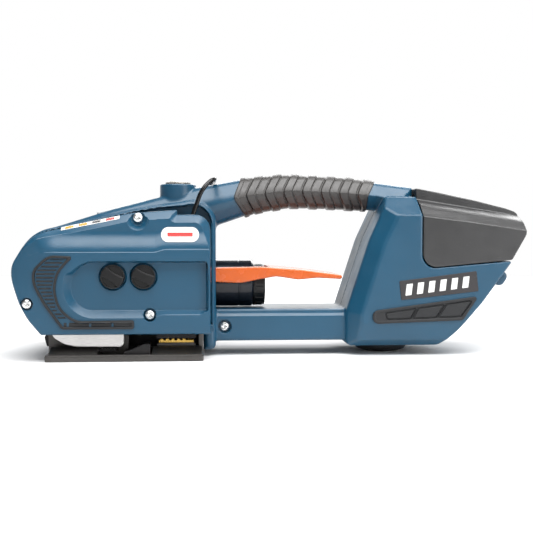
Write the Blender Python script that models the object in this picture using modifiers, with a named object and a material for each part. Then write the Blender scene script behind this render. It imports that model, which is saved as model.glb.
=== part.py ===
"""A battery strapping tool: a moulded body in two halves with a gripping handle, a side cover over the
tensioning and welding heads, a squeeze lever, a lifting bail and a slide-on battery.

World frame in metres: +X runs from the strapping head to the battery, +Y away from the side cover, +Z up,
and z = 0 is the surface that the base plate and the rear foot stand on. Sizes below are in millimetres.
"""

import math

import bmesh
import bpy
from mathutils import Matrix, Vector

# Driving dimensions, mm
MM = 0.001
GAP = 0.3  # between pieces that touch
ARC_STEP = math.radians(30)
LEAST_RADIUS = 0.05
WALL = 3.0
HEAD_HALF = 34.0
COVER_FACE = 62.0
COVER_BACK = HEAD_HALF + GAP
RECESS_FLOOR = 57.0
HANDLE_HALF = 17.0
BEAM_HALF = 30.0
REAR_HALF = 43.0
PAD_FACE = 63.3
SCREW_SHANK = 1.7

# Shafts and pivots as (x, z), mm
MOTOR_Z = 51.8
PIVOT = (-100.0, MOTOR_Z)
WHEEL = (-126.0, 24.6)
ECCENTRIC = (-70.0, 24.0)
LEVER_PIVOT = (-62.0, 57.0)
BAIL_PIVOT = (-58.5, 98.0)
BUTTON_X = -69.2
TENSION_KNOB = (-113.4, 58.9)
WELD_KNOB = (-92.2, 58.8)
COVER_SCREWS = {"top": (-96.0, 99.9), "lower": (-87.7, 32.2), "nose": (-171.9, 40.3)}
BEAM_SCREW = (-35.2, 21.1)
BATTERY_SLOPE = math.radians(5.2)
BATTERY_CORNER = 11.0

# Gears: teeth and module, mm
SUN_TEETH = 12
RING_TEETH = 36
MODULE = 0.8
PLANET_ORBIT = SUN_TEETH * MODULE
PLANET_ANGLES = (90, 210, 330)
CROWN_TEETH = 20
PINION_TEETH = 10
CROWN_RADIUS = 15.0

# Outlines seen from the side, as (x, z) or (x, z, corner radius), mm
HEAD = [(-163.5, 19, 2), (-173.8, 29.7, 40), (-180.3, 41.1, 40), (-185.8, 56.8, 30), (-185.8, 69.3, 18),
        (-172.4, 89.9, 29), (-96, 107, 60), (-41.4, 115.5, 17), (-41.4, 4.5, 6), (-50.3, 4.5, 1),
        (-50.3, 19, 1)]
COVER = [(-162.3, 18.9, 2), (-171.7, 29.7, 40), (-178, 41.1, 40), (-183.1, 56.8, 30), (-183.1, 66.7, 18),
         (-169.3, 88, 29), (-103, 102.9, 40), (-69, 105.4), (-69, 102), (-45.6, 102.2, 16),
         (-45.6, 18.9, 1.5)]
RECESS = [(-147.4, 30.3, 19.5), (-147.4, 69.9, 19.5), (-46.8, 69.9, 3), (-46.8, 32.5, 3), (-77.2, 32.5, 2),
          (-84.1, 30.3, 2)]
SPINE = [(-170, 90.5, 3), (-118, 106.8, 40), (-55, 123.1, 60), (-22, 129.2, 60), (10, 132.2, 80),
         (57, 130, 60), (108, 123.6), (108, 100), (78, 106.5, 10), (46, 108.2, 60), (15, 109, 60),
         (-10.4, 104.9, 60), (-41, 94.5, 6), (-44, 72), (-170, 72)]
BEAM = [(-45, 10.5), (60, 10.5), (60, 33.5), (-45, 33.5)]
REAR = [(53.5, 6.4, 5), (53.5, 32, 15), (60.9, 54.8, 60), (70.4, 84.1, 60), (85.5, 116.5, 4), (108, 116.5),
        (108, 63, 9.5), (174.6, 68.8, 1), (152.6, 38.6, 60), (134.5, 18, 4), (121.5, 6.4, 6)]
REAR_SECTION = [(-33, 6.4), (33, 6.4), (43, 22), (43, 102.3), (20, 116.5), (-20, 116.5), (-43, 102.3),
                (-43, 22)]
GRIP_ENDS = [(-23.2, 140), (-28.4, 115), (-20.3, 95), (66, 95), (70.9, 116), (79.1, 140)]
PAD = [(-140.5, 72), (-155.4, 72.7, 12), (-167, 58, 14), (-157.7, 35, 20), (-147, 23.2, 3), (-98.5, 22.9, 1),
       (-98.5, 29.1, 1), (-132, 29.3, 20), (-152.9, 43, 24), (-150.8, 60.4, 10)]
REAR_PAD = [(73.4, 33.1, 4), (149.2, 43.3, 2), (137.5, 25.8, 2), (74.1, 23.7, 4)]
LEVER = [(-69, 51, 5), (-69, 63.6, 5), (-41, 63.9), (-8, 64.5, 30), (22, 62.2, 60), (51.5, 57.6, 0.8),
         (51.5, 55.6, 0.8), (33, 56.2, 30), (19, 54.9, 20), (3, 57.4, 15), (-8, 55.6, 20), (-23, 52.6, 30),
         (-41, 53.4)]
GUARD = [(-153.5, 21), (-150.8, 14.3, 6), (-143.9, 11.1, 10), (-137, 9.6, 10), (-108.5, 9.4, 1.5),
         (-106.3, 11.2, 1), (-106.3, 46.5), (-146, 46.5)]

# Materials as (red, green, blue, roughness, metallic)
MATERIALS = {
    "blue_plastic": (0.045, 0.15, 0.25, 0.5, 0.0),
    "black_plastic": (0.03, 0.03, 0.032, 0.55, 0.0),
    "grey_plastic": (0.11, 0.1, 0.1, 0.7, 0.0),
    "battery_plastic": (0.07, 0.07, 0.07, 0.5, 0.0),
    "orange_plastic": (0.78, 0.19, 0.05, 0.35, 0.0),
    "rubber": (0.045, 0.045, 0.045, 0.85, 0.0),
    "white_plastic": (0.8, 0.8, 0.77, 0.35, 0.0),
    "cast_metal": (0.06, 0.06, 0.062, 0.5, 0.7),
    "steel": (0.6, 0.6, 0.6, 0.3, 1.0),
    "motor_steel": (0.05, 0.055, 0.06, 0.25, 0.9),
    "brass": (0.55, 0.3, 0.08, 0.35, 1.0),
    "circuit_board": (0.02, 0.12, 0.05, 0.45, 0.0),
    "display_glass": (0.02, 0.02, 0.025, 0.1, 0.0),
}

# The turn that takes an outline's plane (u, v) to the plane across each world axis
TURNS = {
    "x": Matrix(((0, 0, 1), (1, 0, 0), (0, 1, 0))).to_4x4(),
    "y": Matrix(((1, 0, 0), (0, 0, -1), (0, 1, 0))).to_4x4(),
    "z": Matrix.Identity(4),
}
INDEX = {"x": 0, "y": 1, "z": 2}


# Outlines

def corner_arc(here, before, after, radius):
    """The arc of this radius in the corner at here, between the points before and after it."""
    to_before = before - here
    to_after = after - here
    turn = to_before.angle(to_after)
    reach = min(radius / math.tan(turn / 2), 0.48 * to_before.length, 0.48 * to_after.length)
    radius = reach * math.tan(turn / 2)
    middle = (to_before.normalized() + to_after.normalized()).normalized()
    centre = here + middle * (radius / math.sin(turn / 2))
    start = here + to_before.normalized() * reach - centre
    end = here + to_after.normalized() * reach - centre
    sweep = math.atan2(start.cross(end), start.dot(end))
    steps = max(1, math.ceil(abs(sweep) / ARC_STEP))
    return [centre + Matrix.Rotation(sweep * i / steps, 2) @ start for i in range(steps + 1)]


def rounded(corners):
    """The outline through these corners, with an arc at each corner that has a radius."""
    outline = []
    for i, corner in enumerate(corners):
        here = Vector(corner[:2])
        if len(corner) < 3 or corner[2] == 0:
            outline.append(here)
            continue
        before = Vector(corners[i - 1][:2])
        after = Vector(corners[(i + 1) % len(corners)][:2])
        outline += corner_arc(here, before, after, corner[2])
    return outline


def inset(corners, depth):
    """The same corners moved inwards by depth, or outwards where it is negative, their arcs kept parallel."""
    area = sum(a[0] * b[1] - a[1] * b[0] for a, b in zip(corners, corners[1:] + corners[:1]))
    side = math.copysign(1, area)
    moved = []
    for i, corner in enumerate(corners):
        here = Vector(corner[:2])
        ahead = (Vector(corners[(i + 1) % len(corners)][:2]) - here).normalized()
        behind = (here - Vector(corners[i - 1][:2])).normalized()
        normals = [Vector((-way.y, way.x)) * side for way in (behind, ahead)]
        across = normals[0] + normals[1]
        place = here + across * (2 * depth / across.length_squared)
        radius = corner[2] if len(corner) > 2 else 0
        convex = behind.cross(ahead) * side > 0
        radius = max(LEAST_RADIUS, radius - depth if convex else radius + depth) if radius else 0
        moved.append((place.x, place.y, radius))
    return moved


def circle(centre, radius, sides=24):
    steps = [2 * math.pi * i / sides for i in range(sides)]
    return [Vector((centre[0] + radius * math.cos(a), centre[1] + radius * math.sin(a))) for a in steps]


def toothed(centre, teeth, root, tip, phase=0.0, root_share=0.5, tip_share=0.24):
    """A gear's outline: each tooth narrows from root_share of the pitch to tip_share at its tip."""
    outline = []
    for i in range(teeth):
        middle = phase + 2 * math.pi * i / teeth
        half = math.pi / teeth
        for radius, share in ((root, -root_share), (tip, -tip_share), (tip, tip_share), (root, root_share)):
            angle = middle + half * share
            outline.append(Vector((centre[0] + radius * math.cos(angle), centre[1] + radius * math.sin(angle))))
    return outline


def around(first, first_radius, second, second_radius, steps=10):
    """The outline of a taut belt round two circles."""
    first = Vector(first)
    second = Vector(second)
    way = second - first
    heading = math.atan2(way.y, way.x)
    lean = math.acos((first_radius - second_radius) / way.length)
    outline = []
    for centre, radius, start, sweep in (
        (first, first_radius, heading + lean, 2 * (math.pi - lean)),
        (second, second_radius, heading - lean, 2 * lean),
    ):
        for i in range(steps + 1):
            angle = start + sweep * i / steps
            outline.append(centre + radius * Vector((math.cos(angle), math.sin(angle))))
    return outline


# Solids

def link(obj):
    bpy.context.scene.collection.objects.link(obj)
    return obj


def remove(obj):
    data = obj.data
    bpy.data.objects.remove(obj)
    (bpy.data.curves if isinstance(data, bpy.types.Curve) else bpy.data.meshes).remove(data)


def evaluated(obj):
    """A mesh of the object with its modifiers applied."""
    graph = bpy.context.evaluated_depsgraph_get()
    return bpy.data.meshes.new_from_object(obj.evaluated_get(graph))


def cleaned(mesh, matrix):
    """The mesh in world space, with its loose caps welded and its faces pointing out."""
    shape = bmesh.new()
    shape.from_mesh(mesh)
    bmesh.ops.transform(shape, matrix=matrix, verts=shape.verts)
    bmesh.ops.remove_doubles(shape, verts=shape.verts, dist=1e-6)
    bmesh.ops.dissolve_limit(shape, angle_limit=0.002, verts=shape.verts, edges=shape.edges)
    bmesh.ops.recalc_face_normals(shape, faces=shape.faces)
    shape.to_mesh(mesh)
    shape.free()
    return mesh


def from_curve(curve, matrix):
    """A mesh object made from a curve's evaluated shape."""
    guide = link(bpy.data.objects.new("guide", curve))
    mesh = cleaned(evaluated(guide), matrix)
    remove(guide)
    return link(bpy.data.objects.new("solid", mesh))


def prism(outlines, low, high, axis):
    """A flat outline, or an outline with holes, between two heights along an axis."""
    if not isinstance(outlines[0], list):
        outlines = [outlines]
    curve = bpy.data.curves.new("outline", "CURVE")
    curve.dimensions = "2D"
    curve.fill_mode = "BOTH"
    curve.extrude = (high - low) / 2 * MM
    for outline in outlines:
        spline = curve.splines.new("POLY")
        spline.points.add(len(outline) - 1)
        for point, place in zip(spline.points, outline):
            point.co = (place[0] * MM, place[1] * MM, 0, 1)
        spline.use_cyclic_u = True
    matrix = TURNS[axis].copy()
    matrix.translation[INDEX[axis]] = (low + high) / 2 * MM
    return from_curve(curve, matrix)


def chamfered(corners, low, high, width, axis="y"):
    """A prism of this outline between two heights, lofted inwards at both ends to a chamfer of this width."""
    shape = bmesh.new()
    rings = []
    for depth, height in ((width, low), (0, low + width), (0, high - width), (width, high)):
        outline = rounded(inset(corners, depth))
        rings.append([shape.verts.new((point.x * MM, point.y * MM, height * MM)) for point in outline])
    for lower, upper in zip(rings, rings[1:]):
        for i in range(len(lower)):
            shape.faces.new((lower[i - 1], lower[i], upper[i], upper[i - 1]))
    shape.faces.new(rings[0])
    shape.faces.new(rings[-1])
    matrix = TURNS[axis]
    if axis == "y":  # the turn to Y runs an outline's own heights towards -Y
        matrix = matrix @ Matrix.Diagonal((1, 1, -1, 1))
    obj = from_bmesh(shape)
    cleaned(obj.data, matrix)
    return obj


def from_bmesh(shape):
    mesh = bpy.data.meshes.new("solid")
    shape.to_mesh(mesh)
    shape.free()
    return link(bpy.data.objects.new("solid", mesh))


def box(low, high):
    shape = bmesh.new()
    size = Vector(high) - Vector(low)
    middle = (Vector(high) + Vector(low)) / 2
    matrix = Matrix.Translation(middle * MM) @ Matrix.Diagonal((*(size * MM), 1))
    bmesh.ops.create_cube(shape, size=1, matrix=matrix)
    return from_bmesh(shape)


def cylinder(centre, radius, low, high, axis="y", sides=16, end_radius=None):
    """A cylinder or cone along an axis, through a centre given in the plane across it."""
    shape = bmesh.new()
    matrix = TURNS[axis].copy()
    place = [0, 0, 0]
    across = [i for i in range(3) if i != INDEX[axis]]
    place[across[0]], place[across[1]] = centre
    place[INDEX[axis]] = (low + high) / 2
    matrix.translation = Vector(place) * MM
    end_radius = radius if end_radius is None else end_radius
    flip = axis == "y"  # the turn to Y points the cone's own axis towards -Y
    bmesh.ops.create_cone(
        shape, cap_ends=True, segments=sides, depth=(high - low) * MM, matrix=matrix,
        radius1=(end_radius if flip else radius) * MM, radius2=(radius if flip else end_radius) * MM,
    )
    return from_bmesh(shape)


def hull(points):
    shape = bmesh.new()
    for point in points:
        shape.verts.new(Vector(point) * MM)
    bmesh.ops.convex_hull(shape, input=shape.verts)
    bmesh.ops.delete(shape, geom=[v for v in shape.verts if not v.link_faces], context="VERTS")
    bmesh.ops.dissolve_limit(shape, angle_limit=0.01, verts=shape.verts, edges=shape.edges)
    return from_bmesh(shape)


def turned(profile, place, steps=16):
    """A turned shape from (radius, height) pairs that run down its outer side, top to bottom."""
    shape = bmesh.new()
    verts = [shape.verts.new((radius * MM, 0, height * MM)) for radius, height in profile]
    for first, second in zip(verts, verts[1:]):
        shape.edges.new((first, second))
    obj = from_bmesh(shape)
    screw = obj.modifiers.new("turn", "SCREW")
    screw.steps = steps
    screw.render_steps = steps
    screw.use_merge_vertices = True
    screw.merge_threshold = 1e-5
    apply_modifiers(obj)
    cleaned(obj.data, Matrix.Translation(Vector(place) * MM))
    return obj


def wire(points, radius):
    """A round wire through these points, with closed ends."""
    curve = bpy.data.curves.new("wire", "CURVE")
    curve.dimensions = "3D"
    curve.bevel_depth = radius * MM
    curve.bevel_resolution = 2
    curve.use_fill_caps = True
    spline = curve.splines.new("POLY")
    spline.points.add(len(points) - 1)
    for point, place in zip(spline.points, points):
        point.co = (*(Vector(place) * MM), 1)
    return from_curve(curve, Matrix.Identity(4))


def apply_modifiers(obj):
    mesh = evaluated(obj)
    obj.modifiers.clear()
    old = obj.data
    obj.data = mesh
    bpy.data.meshes.remove(old)


def combine(target, tools, operation):
    for tool in tools:
        modifier = target.modifiers.new("boolean", "BOOLEAN")
        modifier.operation = operation
        modifier.solver = "EXACT"
        modifier.object = tool
    apply_modifiers(target)
    for tool in tools:
        remove(tool)
    return target


def joined(target, *tools):
    return combine(target, tools, "UNION")


def cut(target, *tools):
    return combine(target, tools, "DIFFERENCE")


def common(target, *tools):
    return combine(target, tools, "INTERSECT")


def bevelled(obj, width, segments=1, angle=50):
    bevel = obj.modifiers.new("bevel", "BEVEL")
    bevel.width = width * MM
    bevel.segments = segments
    bevel.limit_method = "ANGLE"
    bevel.angle_limit = math.radians(angle)
    apply_modifiers(obj)
    return obj


def moved(obj, matrix):
    obj.data.transform(matrix)
    return obj


def mirrored(obj):
    """A copy of the solid on the other side of the tool's middle plane."""
    mesh = obj.data.copy()
    mesh.transform(Matrix.Diagonal((1, -1, 1, 1)))
    mesh.flip_normals()
    return link(bpy.data.objects.new("solid", mesh))


# Naming, colouring and parenting

def make_material(name):
    red, green, blue, roughness, metallic = MATERIALS[name]
    material = bpy.data.materials.new(name)
    material.use_nodes = True
    shader = material.node_tree.nodes["Principled BSDF"]
    shader.inputs["Base Color"].default_value = (red, green, blue, 1)
    shader.inputs["Roughness"].default_value = roughness
    shader.inputs["Metallic"].default_value = metallic
    material.diffuse_color = (red, green, blue, 1)
    return material


def finished(obj, name, material, parent=None):
    """Names a solid as a node of the tool, gives it its material and hangs it on its joint's empty."""
    obj.name = name
    obj.data.name = name
    obj.data.materials.clear()
    obj.data.materials.append(bpy.data.materials.get(material) or make_material(material))
    obj.data.shade_smooth()
    obj.data.set_sharp_from_angle(angle=math.radians(32))
    for collection in list(obj.users_collection):
        collection.objects.unlink(obj)
    bpy.data.collections["strapping_tool"].objects.link(obj)
    if parent:
        obj.parent = parent
        obj.matrix_parent_inverse = Matrix.Translation(-joint_place(parent))
    return obj


def joint_place(empty):
    """Where a joint's empty is in the world: its own place on top of its parents'."""
    place = empty.location.copy()
    return place + joint_place(empty.parent) if empty.parent else place


def joint(name, place, parent=None):
    """An empty on a joint's axis, which carries the pieces that move with it."""
    empty = bpy.data.objects.new(name, None)
    empty.empty_display_size = 0.01
    empty.location = Vector(place) * MM
    if parent:
        empty.parent = parent
        empty.location -= joint_place(parent)
    bpy.data.collections["strapping_tool"].objects.link(empty)
    return empty


# The moulded body

def body_outside():
    head = chamfered(HEAD, -HEAD_HALF, HEAD_HALF, 3)
    spine = chamfered(SPINE, -HANDLE_HALF, HANDLE_HALF, 6)
    beam = chamfered(BEAM, -BEAM_HALF, BEAM_HALF, 4)
    boss = cylinder((BUTTON_X, 0), 13.5, 108, 125.6, "z", 24)
    return joined(head, spine, beam, rear_block(0), boss)


def rear_block(depth):
    """The rear housing's solid form, shrunk by depth, with its two front corners cut away."""
    block = prism(rounded(inset(REAR, depth)), -50, 50, "y")
    section = prism(rounded(inset(REAR_SECTION, depth)), 40, 190, "x")
    common(block, section)
    front_lean = math.atan2(85.5 - 53.5, 116.5 - 32)
    reach = 12 - depth
    for side in (-1, 1):
        corner = [(-20, side * (REAR_HALF + 20)), (-20, side * (REAR_HALF - reach - depth)),
                  (depth, side * (REAR_HALF - reach - depth)), (reach, side * (REAR_HALF - depth)),
                  (reach, side * (REAR_HALF + 20))]
        wedge = prism([Vector(point) for point in corner], -90, 120, "z")
        lean = Matrix.Rotation(front_lean, 4, "Y")
        cut(block, moved(wedge, Matrix.Translation(Vector((54.5, 0, 32)) * MM) @ lean))
    return block


def body_inside():
    head = prism(rounded(inset(HEAD, WALL)), WALL - HEAD_HALF, HEAD_HALF - WALL, "y")
    core = HANDLE_HALF - 2.5
    spine = chamfered(inset(SPINE, 2.5), -core, core, 5)
    neck = box((-150, -core, 78), (-47, core, 95))
    passage = box((-50, 2.5 - BEAM_HALF, 13), (64, BEAM_HALF - 2.5, 31))
    return joined(head, spine, neck, passage, rear_block(2.5))


def body_openings():
    """Everything cut through the body's walls, both sides alike."""
    cutters = [
        box((-161.5, WALL - HEAD_HALF, -5), (-51, HEAD_HALF - WALL, 23)),
        box((-50, -28.8, 33.7), (-36, 28.8, 74.5)),
        box((104, -29, 72.5), (112, 29, 102)),
        cylinder((BUTTON_X, 0), 8, 100, 130, "z", 20),
        cylinder(LEVER_PIVOT, 2.8, -40, 40),
        cylinder(BAIL_PIVOT, 2.2, -40, 40),
        latch_slot(),
        box((-163, -40, 15), (-104, -25, 60)),
        box((-99, -40, 4), (-52, -25, 26)),
    ]
    for x, z in COVER_SCREWS.values():
        cutters.append(cylinder((x, z), 2, -50, -10, sides=8))
        cutters.append(cylinder((x, z), 2, 10, 50, sides=8))
    cutters.append(cylinder(BEAM_SCREW, 2, -40, 14, sides=10))
    cutters.append(cylinder(BEAM_SCREW, 4.7, -40, -26))
    return cutters


def screw_columns():
    columns = []
    for x, z in COVER_SCREWS.values():
        for side in (-1, 1):
            low, high = sorted((side * 30.2, side * (HEAD_HALF - 0.5)))
            columns.append(cylinder((x, z), 4.8, low, high, sides=14))
    columns.append(cylinder(BEAM_SCREW, 6.5, 0.5 - BEAM_HALF, BEAM_HALF - 0.5))
    return columns


def make_body():
    body = body_outside()
    cut(body, body_inside())
    trim = prism(rounded(inset(HEAD, 0.5)), -HEAD_HALF, HEAD_HALF, "y")
    beam_trim = box((-44, -BEAM_HALF, 11), (0, BEAM_HALF, 33))
    columns = screw_columns()
    ribs = joined(columns[0], *columns[1:])
    common(ribs, joined(trim, beam_trim))
    joined(body, ribs)
    cut(body, *body_openings())
    far = link(body.copy())
    far.data = body.data.copy()
    common(body, box((-300, -100, -50), (300, -GAP / 2, 200)))
    common(far, box((-300, GAP / 2, -50), (300, 100, 200)))
    finished(body, "near_body_shell", "blue_plastic")
    finished(far, "far_body_shell", "blue_plastic")


def make_cover(plain=False):
    """A side cover on the near side. The plain one has no recess, knob holes or opening for the strap."""
    cover = chamfered(COVER, -COVER_FACE, -20, 3)
    cavity = prism(rounded(inset(COVER, 2.5)), 2.5 - COVER_FACE, -15, "y")
    if not plain:
        cut(cavity, prism(rounded(inset(RECESS, -2.5)), -70, 2.5 - RECESS_FLOOR, "y"))
    columns = [cylinder(place, 5.2, 1 - COVER_FACE, -20, sides=14) for place in COVER_SCREWS.values()]
    common(columns[0], prism(rounded(inset(COVER, 0.5)), -80, -10, "y"))
    common(columns[2], prism(rounded(inset(COVER, 0.5)), -80, -10, "y"))
    cut(cavity, *columns)
    openings = [cylinder(place, 2, -70, -20, sides=8) for place in COVER_SCREWS.values()]
    if not plain:
        openings.append(prism(rounded(RECESS), -70, -RECESS_FLOOR, "y"))
        openings += [cylinder(place, 3.4, -70, -50) for place in (TENSION_KNOB, WELD_KNOB)]
    openings += [cylinder(place, 4.2, -70, -58, sides=12) for place in COVER_SCREWS.values()]
    openings += [cavity, box((-260, -COVER_BACK, -10), (50, 0, 150)), box((-67, -42, 92), (-49, -20, 110))]
    if not plain:
        openings.append(box((-158.5, 2.5 - COVER_FACE, 10), (-49, -20, 25)))
    return cut(cover, *openings)


def make_far_cover():
    cover = make_cover(plain=True)
    far = mirrored(cover)
    remove(cover)
    return far


def make_grip():
    """The rubber sleeve round the middle of the handle."""
    reach = HANDLE_HALF + GAP
    grip = chamfered(inset(SPINE, -1.6), -18.6, 18.6, 6.6)
    core = chamfered(inset(SPINE, -GAP), -reach, reach, 6)
    common(grip, prism(rounded(GRIP_ENDS), -30, 30, "y"))
    return cut(grip, core)


def make_pads():
    pad = prism(rounded(PAD), -PAD_FACE, -COVER_FACE - GAP, "y")
    rear = prism(rounded(REAR_PAD), -REAR_HALF - 1.5, -REAR_HALF - GAP, "y")
    finished(mirrored(pad), "front_pad_far", "rubber")
    finished(pad, "front_pad_near", "rubber")
    finished(mirrored(rear), "rear_pad_far", "rubber")
    finished(rear, "rear_pad_near", "rubber")


def pan_head_screw(place, head_y, end_y, head_radius):
    """A screw along Y, its head 2.4 mm high at head_y and its point at end_y, with a cross drive."""
    side = math.copysign(1, end_y - head_y)
    low, high = sorted((head_y, head_y + side * 2.4))
    screw = cylinder(place, head_radius, low, high, sides=12)
    low, high = sorted((head_y + side * 1.5, end_y))
    joined(screw, cylinder(place, SCREW_SHANK, low, high, sides=8))
    low, high = sorted((head_y - side, head_y + side * 1.2))
    x, z = place
    return cut(screw, box((x - 2, low, z - 0.45), (x + 2, high, z + 0.45)),
               box((x - 0.45, low, z - 2), (x + 0.45, high, z + 2)))


def make_fasteners():
    for name, place in COVER_SCREWS.items():
        screw = pan_head_screw(place, -60.6, -30.6, 3.4)
        finished(mirrored(screw), "far_cover_screw_" + name, "steel")
        finished(screw, "cover_screw_" + name, "steel")
    finished(pan_head_screw(BEAM_SCREW, -28.6, 12, 4.0), "beam_screw", "steel")
    pin = cylinder(LEVER_PIVOT, 2.5, -33.8, -22.2)
    finished(mirrored(pin), "lever_pin_far", "steel")
    finished(pin, "lever_pin_near", "steel")


# The base and the frame that carry the mechanism

def make_base():
    plate = bevelled(box((-160, -61, 0), (-50.6, 33, 5)), 1.2)
    cut(plate, box((-124, -58.5, 2), (-86.5, -22, 9)))
    joined(plate, bevelled(box((-84, -42, 3), (-56, -20, 8.7)), 0.8))
    finished(plate, "base_plate", "cast_metal")

    comb = [Vector((-140, 5.3)), Vector((-112, 5.3))]
    for i in range(14):
        comb += [Vector((-112 - 2 * i, 7.2)), Vector((-113 - 2 * i, 8))]
    comb.append(Vector((-140, 7.2)))
    finished(prism(comb, -46, -28, "y"), "tension_foot", "steel")

    crest = [Vector((-82.5, 9)), Vector((-57.3, 9))]
    crest += [Vector((-57.3, 10.8)), Vector((-60, 11.4))]
    for i in range(5):
        left = -62.4 - 4.1 * i
        crest += [Vector((left + 2.0, 11.4)), Vector((left + 1.4, 12.9)), Vector((left - 0.7, 12.9)),
                  Vector((left - 1.3, 11.4))]
    crest += [Vector((-82.5, 11.4))]
    finished(prism(crest, -40, -22, "y"), "lower_weld_plate", "brass")

    ramp = [(-106, 2.3), (-87.7, 2.3), (-87.7, 11.9, 0.5), (-92, 11.9, 4), (-102, 7.6, 4), (-106, 6.3)]
    finished(prism(rounded(ramp), -57, -42, "y"), "strap_ramp", "steel")

    foot = [(0, 6.1), (20, 6.1), (20, 4.6), (18.5, 1.8), (14, 0), (0, 0)]
    finished(turned(foot, (85, 0, 0), 24), "rear_foot", "rubber")


def make_frame():
    side = [(-166, 5.3, 1), (-52, 5.3), (-52, 31, 4), (-92, 31, 4), (-92, 75, 6), (-160.5, 75, 8),
            (-160.5, 17, 4), (-168, 13, 2)]
    holes = [circle(PIVOT, 4.4, 20), circle(ECCENTRIC, 3.9, 16)]
    frame = prism([rounded(side), *holes], -10.4, -6.4, "y")
    joined(
        frame,
        prism([rounded(side), *holes], 26, 29.5, "y"),
        box((-164, -10, 5.3), (-52, 29, 9)),
        box((-146, -30.5, 66), (-134, -7, 69)),
    )
    finished(frame, "main_frame", "cast_metal")


# Drive train

def make_motor():
    can = prism([circle((0, MOTOR_Z), 17.8, 36), circle((0, MOTOR_Z), 16.6, 36)], -61, -13.4, "x")
    face = prism([circle((0, MOTOR_Z), 17.2, 36), circle((0, MOTOR_Z), 4, 16)], -61, -59.6, "x")
    finished(joined(can, face), "motor_can", "motor_steel")
    cap = bevelled(cylinder((0, MOTOR_Z - 1.6), 15.6, -13.1, -4.3, "x", 28), 1.5, 2)
    finished(cap, "motor_end_cap", "black_plastic")

    rotor = cylinder((0, MOTOR_Z), 1.6, -76.5, -16, "x", 12)
    joined(rotor, cylinder((0, MOTOR_Z), 12, -54, -22, "x", 24))
    spin = joint("motor_spin", (-40, 0, MOTOR_Z))
    finished(rotor, "motor_rotor", "steel", spin)
    outer = toothed((0, MOTOR_Z), SUN_TEETH, 3.95, 5.25)
    sun = prism([outer, circle((0, MOTOR_Z), 1.95, 12)], -76, -69, "x")
    finished(sun, "sun_gear", "steel", spin)


def make_gearbox():
    inner = toothed((0, MOTOR_Z), RING_TEETH, 15.2, 13.95)
    ring = prism([circle((0, MOTOR_Z), 17.5, 36), inner], -79.5, -62.5, "x")
    finished(ring, "ring_gear", "steel")

    carrier_spin = joint("carrier_spin", (-78, 0, MOTOR_Z))
    carrier = cylinder((0, MOTOR_Z), 13, -79.2, -76.6, "x", 24)
    parts = [cylinder((0, MOTOR_Z), 3.5, -88, -78, "x", 16)]
    for i, degrees in enumerate(PLANET_ANGLES):
        angle = math.radians(degrees)
        centre = (PLANET_ORBIT * math.cos(angle), MOTOR_Z + PLANET_ORBIT * math.sin(angle))
        parts.append(cylinder(centre, 1.5, -78, -68.5, "x", 12))
        spin = joint(f"planet_{i + 1}_spin", (-72, *centre), carrier_spin)
        phase = 2 * angle + math.pi - math.pi / SUN_TEETH
        outer = toothed(centre, SUN_TEETH, 3.95, 5.25, phase)
        planet = prism([outer, circle(centre, 1.85, 12)], -76, -69, "x")
        finished(planet, f"planet_gear_{i + 1}", "steel", spin)
    finished(joined(carrier, *parts), "planet_carrier", "steel", carrier_spin)

    teeth = toothed((0, MOTOR_Z), PINION_TEETH, 5.9, 8.6, 0, 0.46, 0.2)
    pinion = prism([teeth, circle((0, MOTOR_Z), 3.85, 16)], -86.5, -83.5, "x")
    finished(pinion, "crown_pinion", "steel", carrier_spin)


def make_cross_shaft():
    spin = joint("cross_spin", (PIVOT[0], 0, PIVOT[1]))
    shaft = cylinder(PIVOT, 4, -28, 30)
    joined(shaft, cylinder(PIVOT, 11, -19.5, -12, sides=24), cylinder(PIVOT, 10, 19, 24.5, sides=24))
    finished(shaft, "cross_shaft", "steel", spin)

    crown = prism([circle(PIVOT, 17, 30), circle(PIVOT, 4.3, 20)], 9.2, 13.5, "y")
    ribs = []
    for i in range(CROWN_TEETH):
        rib = box((13.4, 6.4, -0.8), (16.6, 9.6, 0.8))
        angle = math.radians((i + 0.5) * 360 / CROWN_TEETH)
        place = Matrix.Translation(Vector((PIVOT[0], 0, PIVOT[1])) * MM)
        ribs.append(moved(rib, place @ Matrix.Rotation(angle, 4, "Y")))
    finished(joined(crown, *ribs), "crown_gear", "steel", spin)


def make_rocker():
    swing = joint("rocker_swing", (PIVOT[0], 0, PIVOT[1]))
    arm = prism([around(PIVOT, 10.5, WHEEL, 8.5), circle(PIVOT, 4.4, 20), circle(WHEEL, 4.4, 20)],
                -27.5, -21, "y")
    bridge = box((-150, -48.7, 42.5), (-108, -21, 46.5))
    web = box((-118, -27.5, 38), (-108, -21, 44))
    finished(joined(arm, web, bridge), "rocker_arm", "cast_metal", swing)
    guard = prism(rounded(GUARD), -52.3, -49, "y")
    finished(guard, "wheel_guard", "steel", swing)
    belt = prism([around(PIVOT, 13, WHEEL, 13), around(PIVOT, 11.4, WHEEL, 11.4)], -19.2, -12.3, "y")
    finished(belt, "tension_belt", "rubber", swing)

    spin = joint("wheel_spin", (WHEEL[0], 0, WHEEL[1]), swing)
    wheel = prism([toothed(WHEEL, 30, 15.2, 16, 0, 0.8, 0.3), circle(WHEEL, 4.4, 20)], -46, -29.5, "y")
    finished(wheel, "tension_wheel", "steel", spin)
    shaft = cylinder(WHEEL, 4, -47.5, -11.8)
    joined(shaft, cylinder(WHEEL, 11, -19.5, -12, sides=24))
    finished(shaft, "wheel_shaft", "steel", spin)


def make_spring():
    turns, radius, low, high = 4, 4.5, 47.6, 64.9
    steps = turns * 8
    points = []
    for i in range(steps + 1):
        angle = 2 * math.pi * turns * i / steps
        points.append((-140 + radius * math.cos(angle), -25 + radius * math.sin(angle),
                       low + (high - low) * i / steps))
    finished(wire(points, 0.7), "rocker_spring", "steel")


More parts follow.
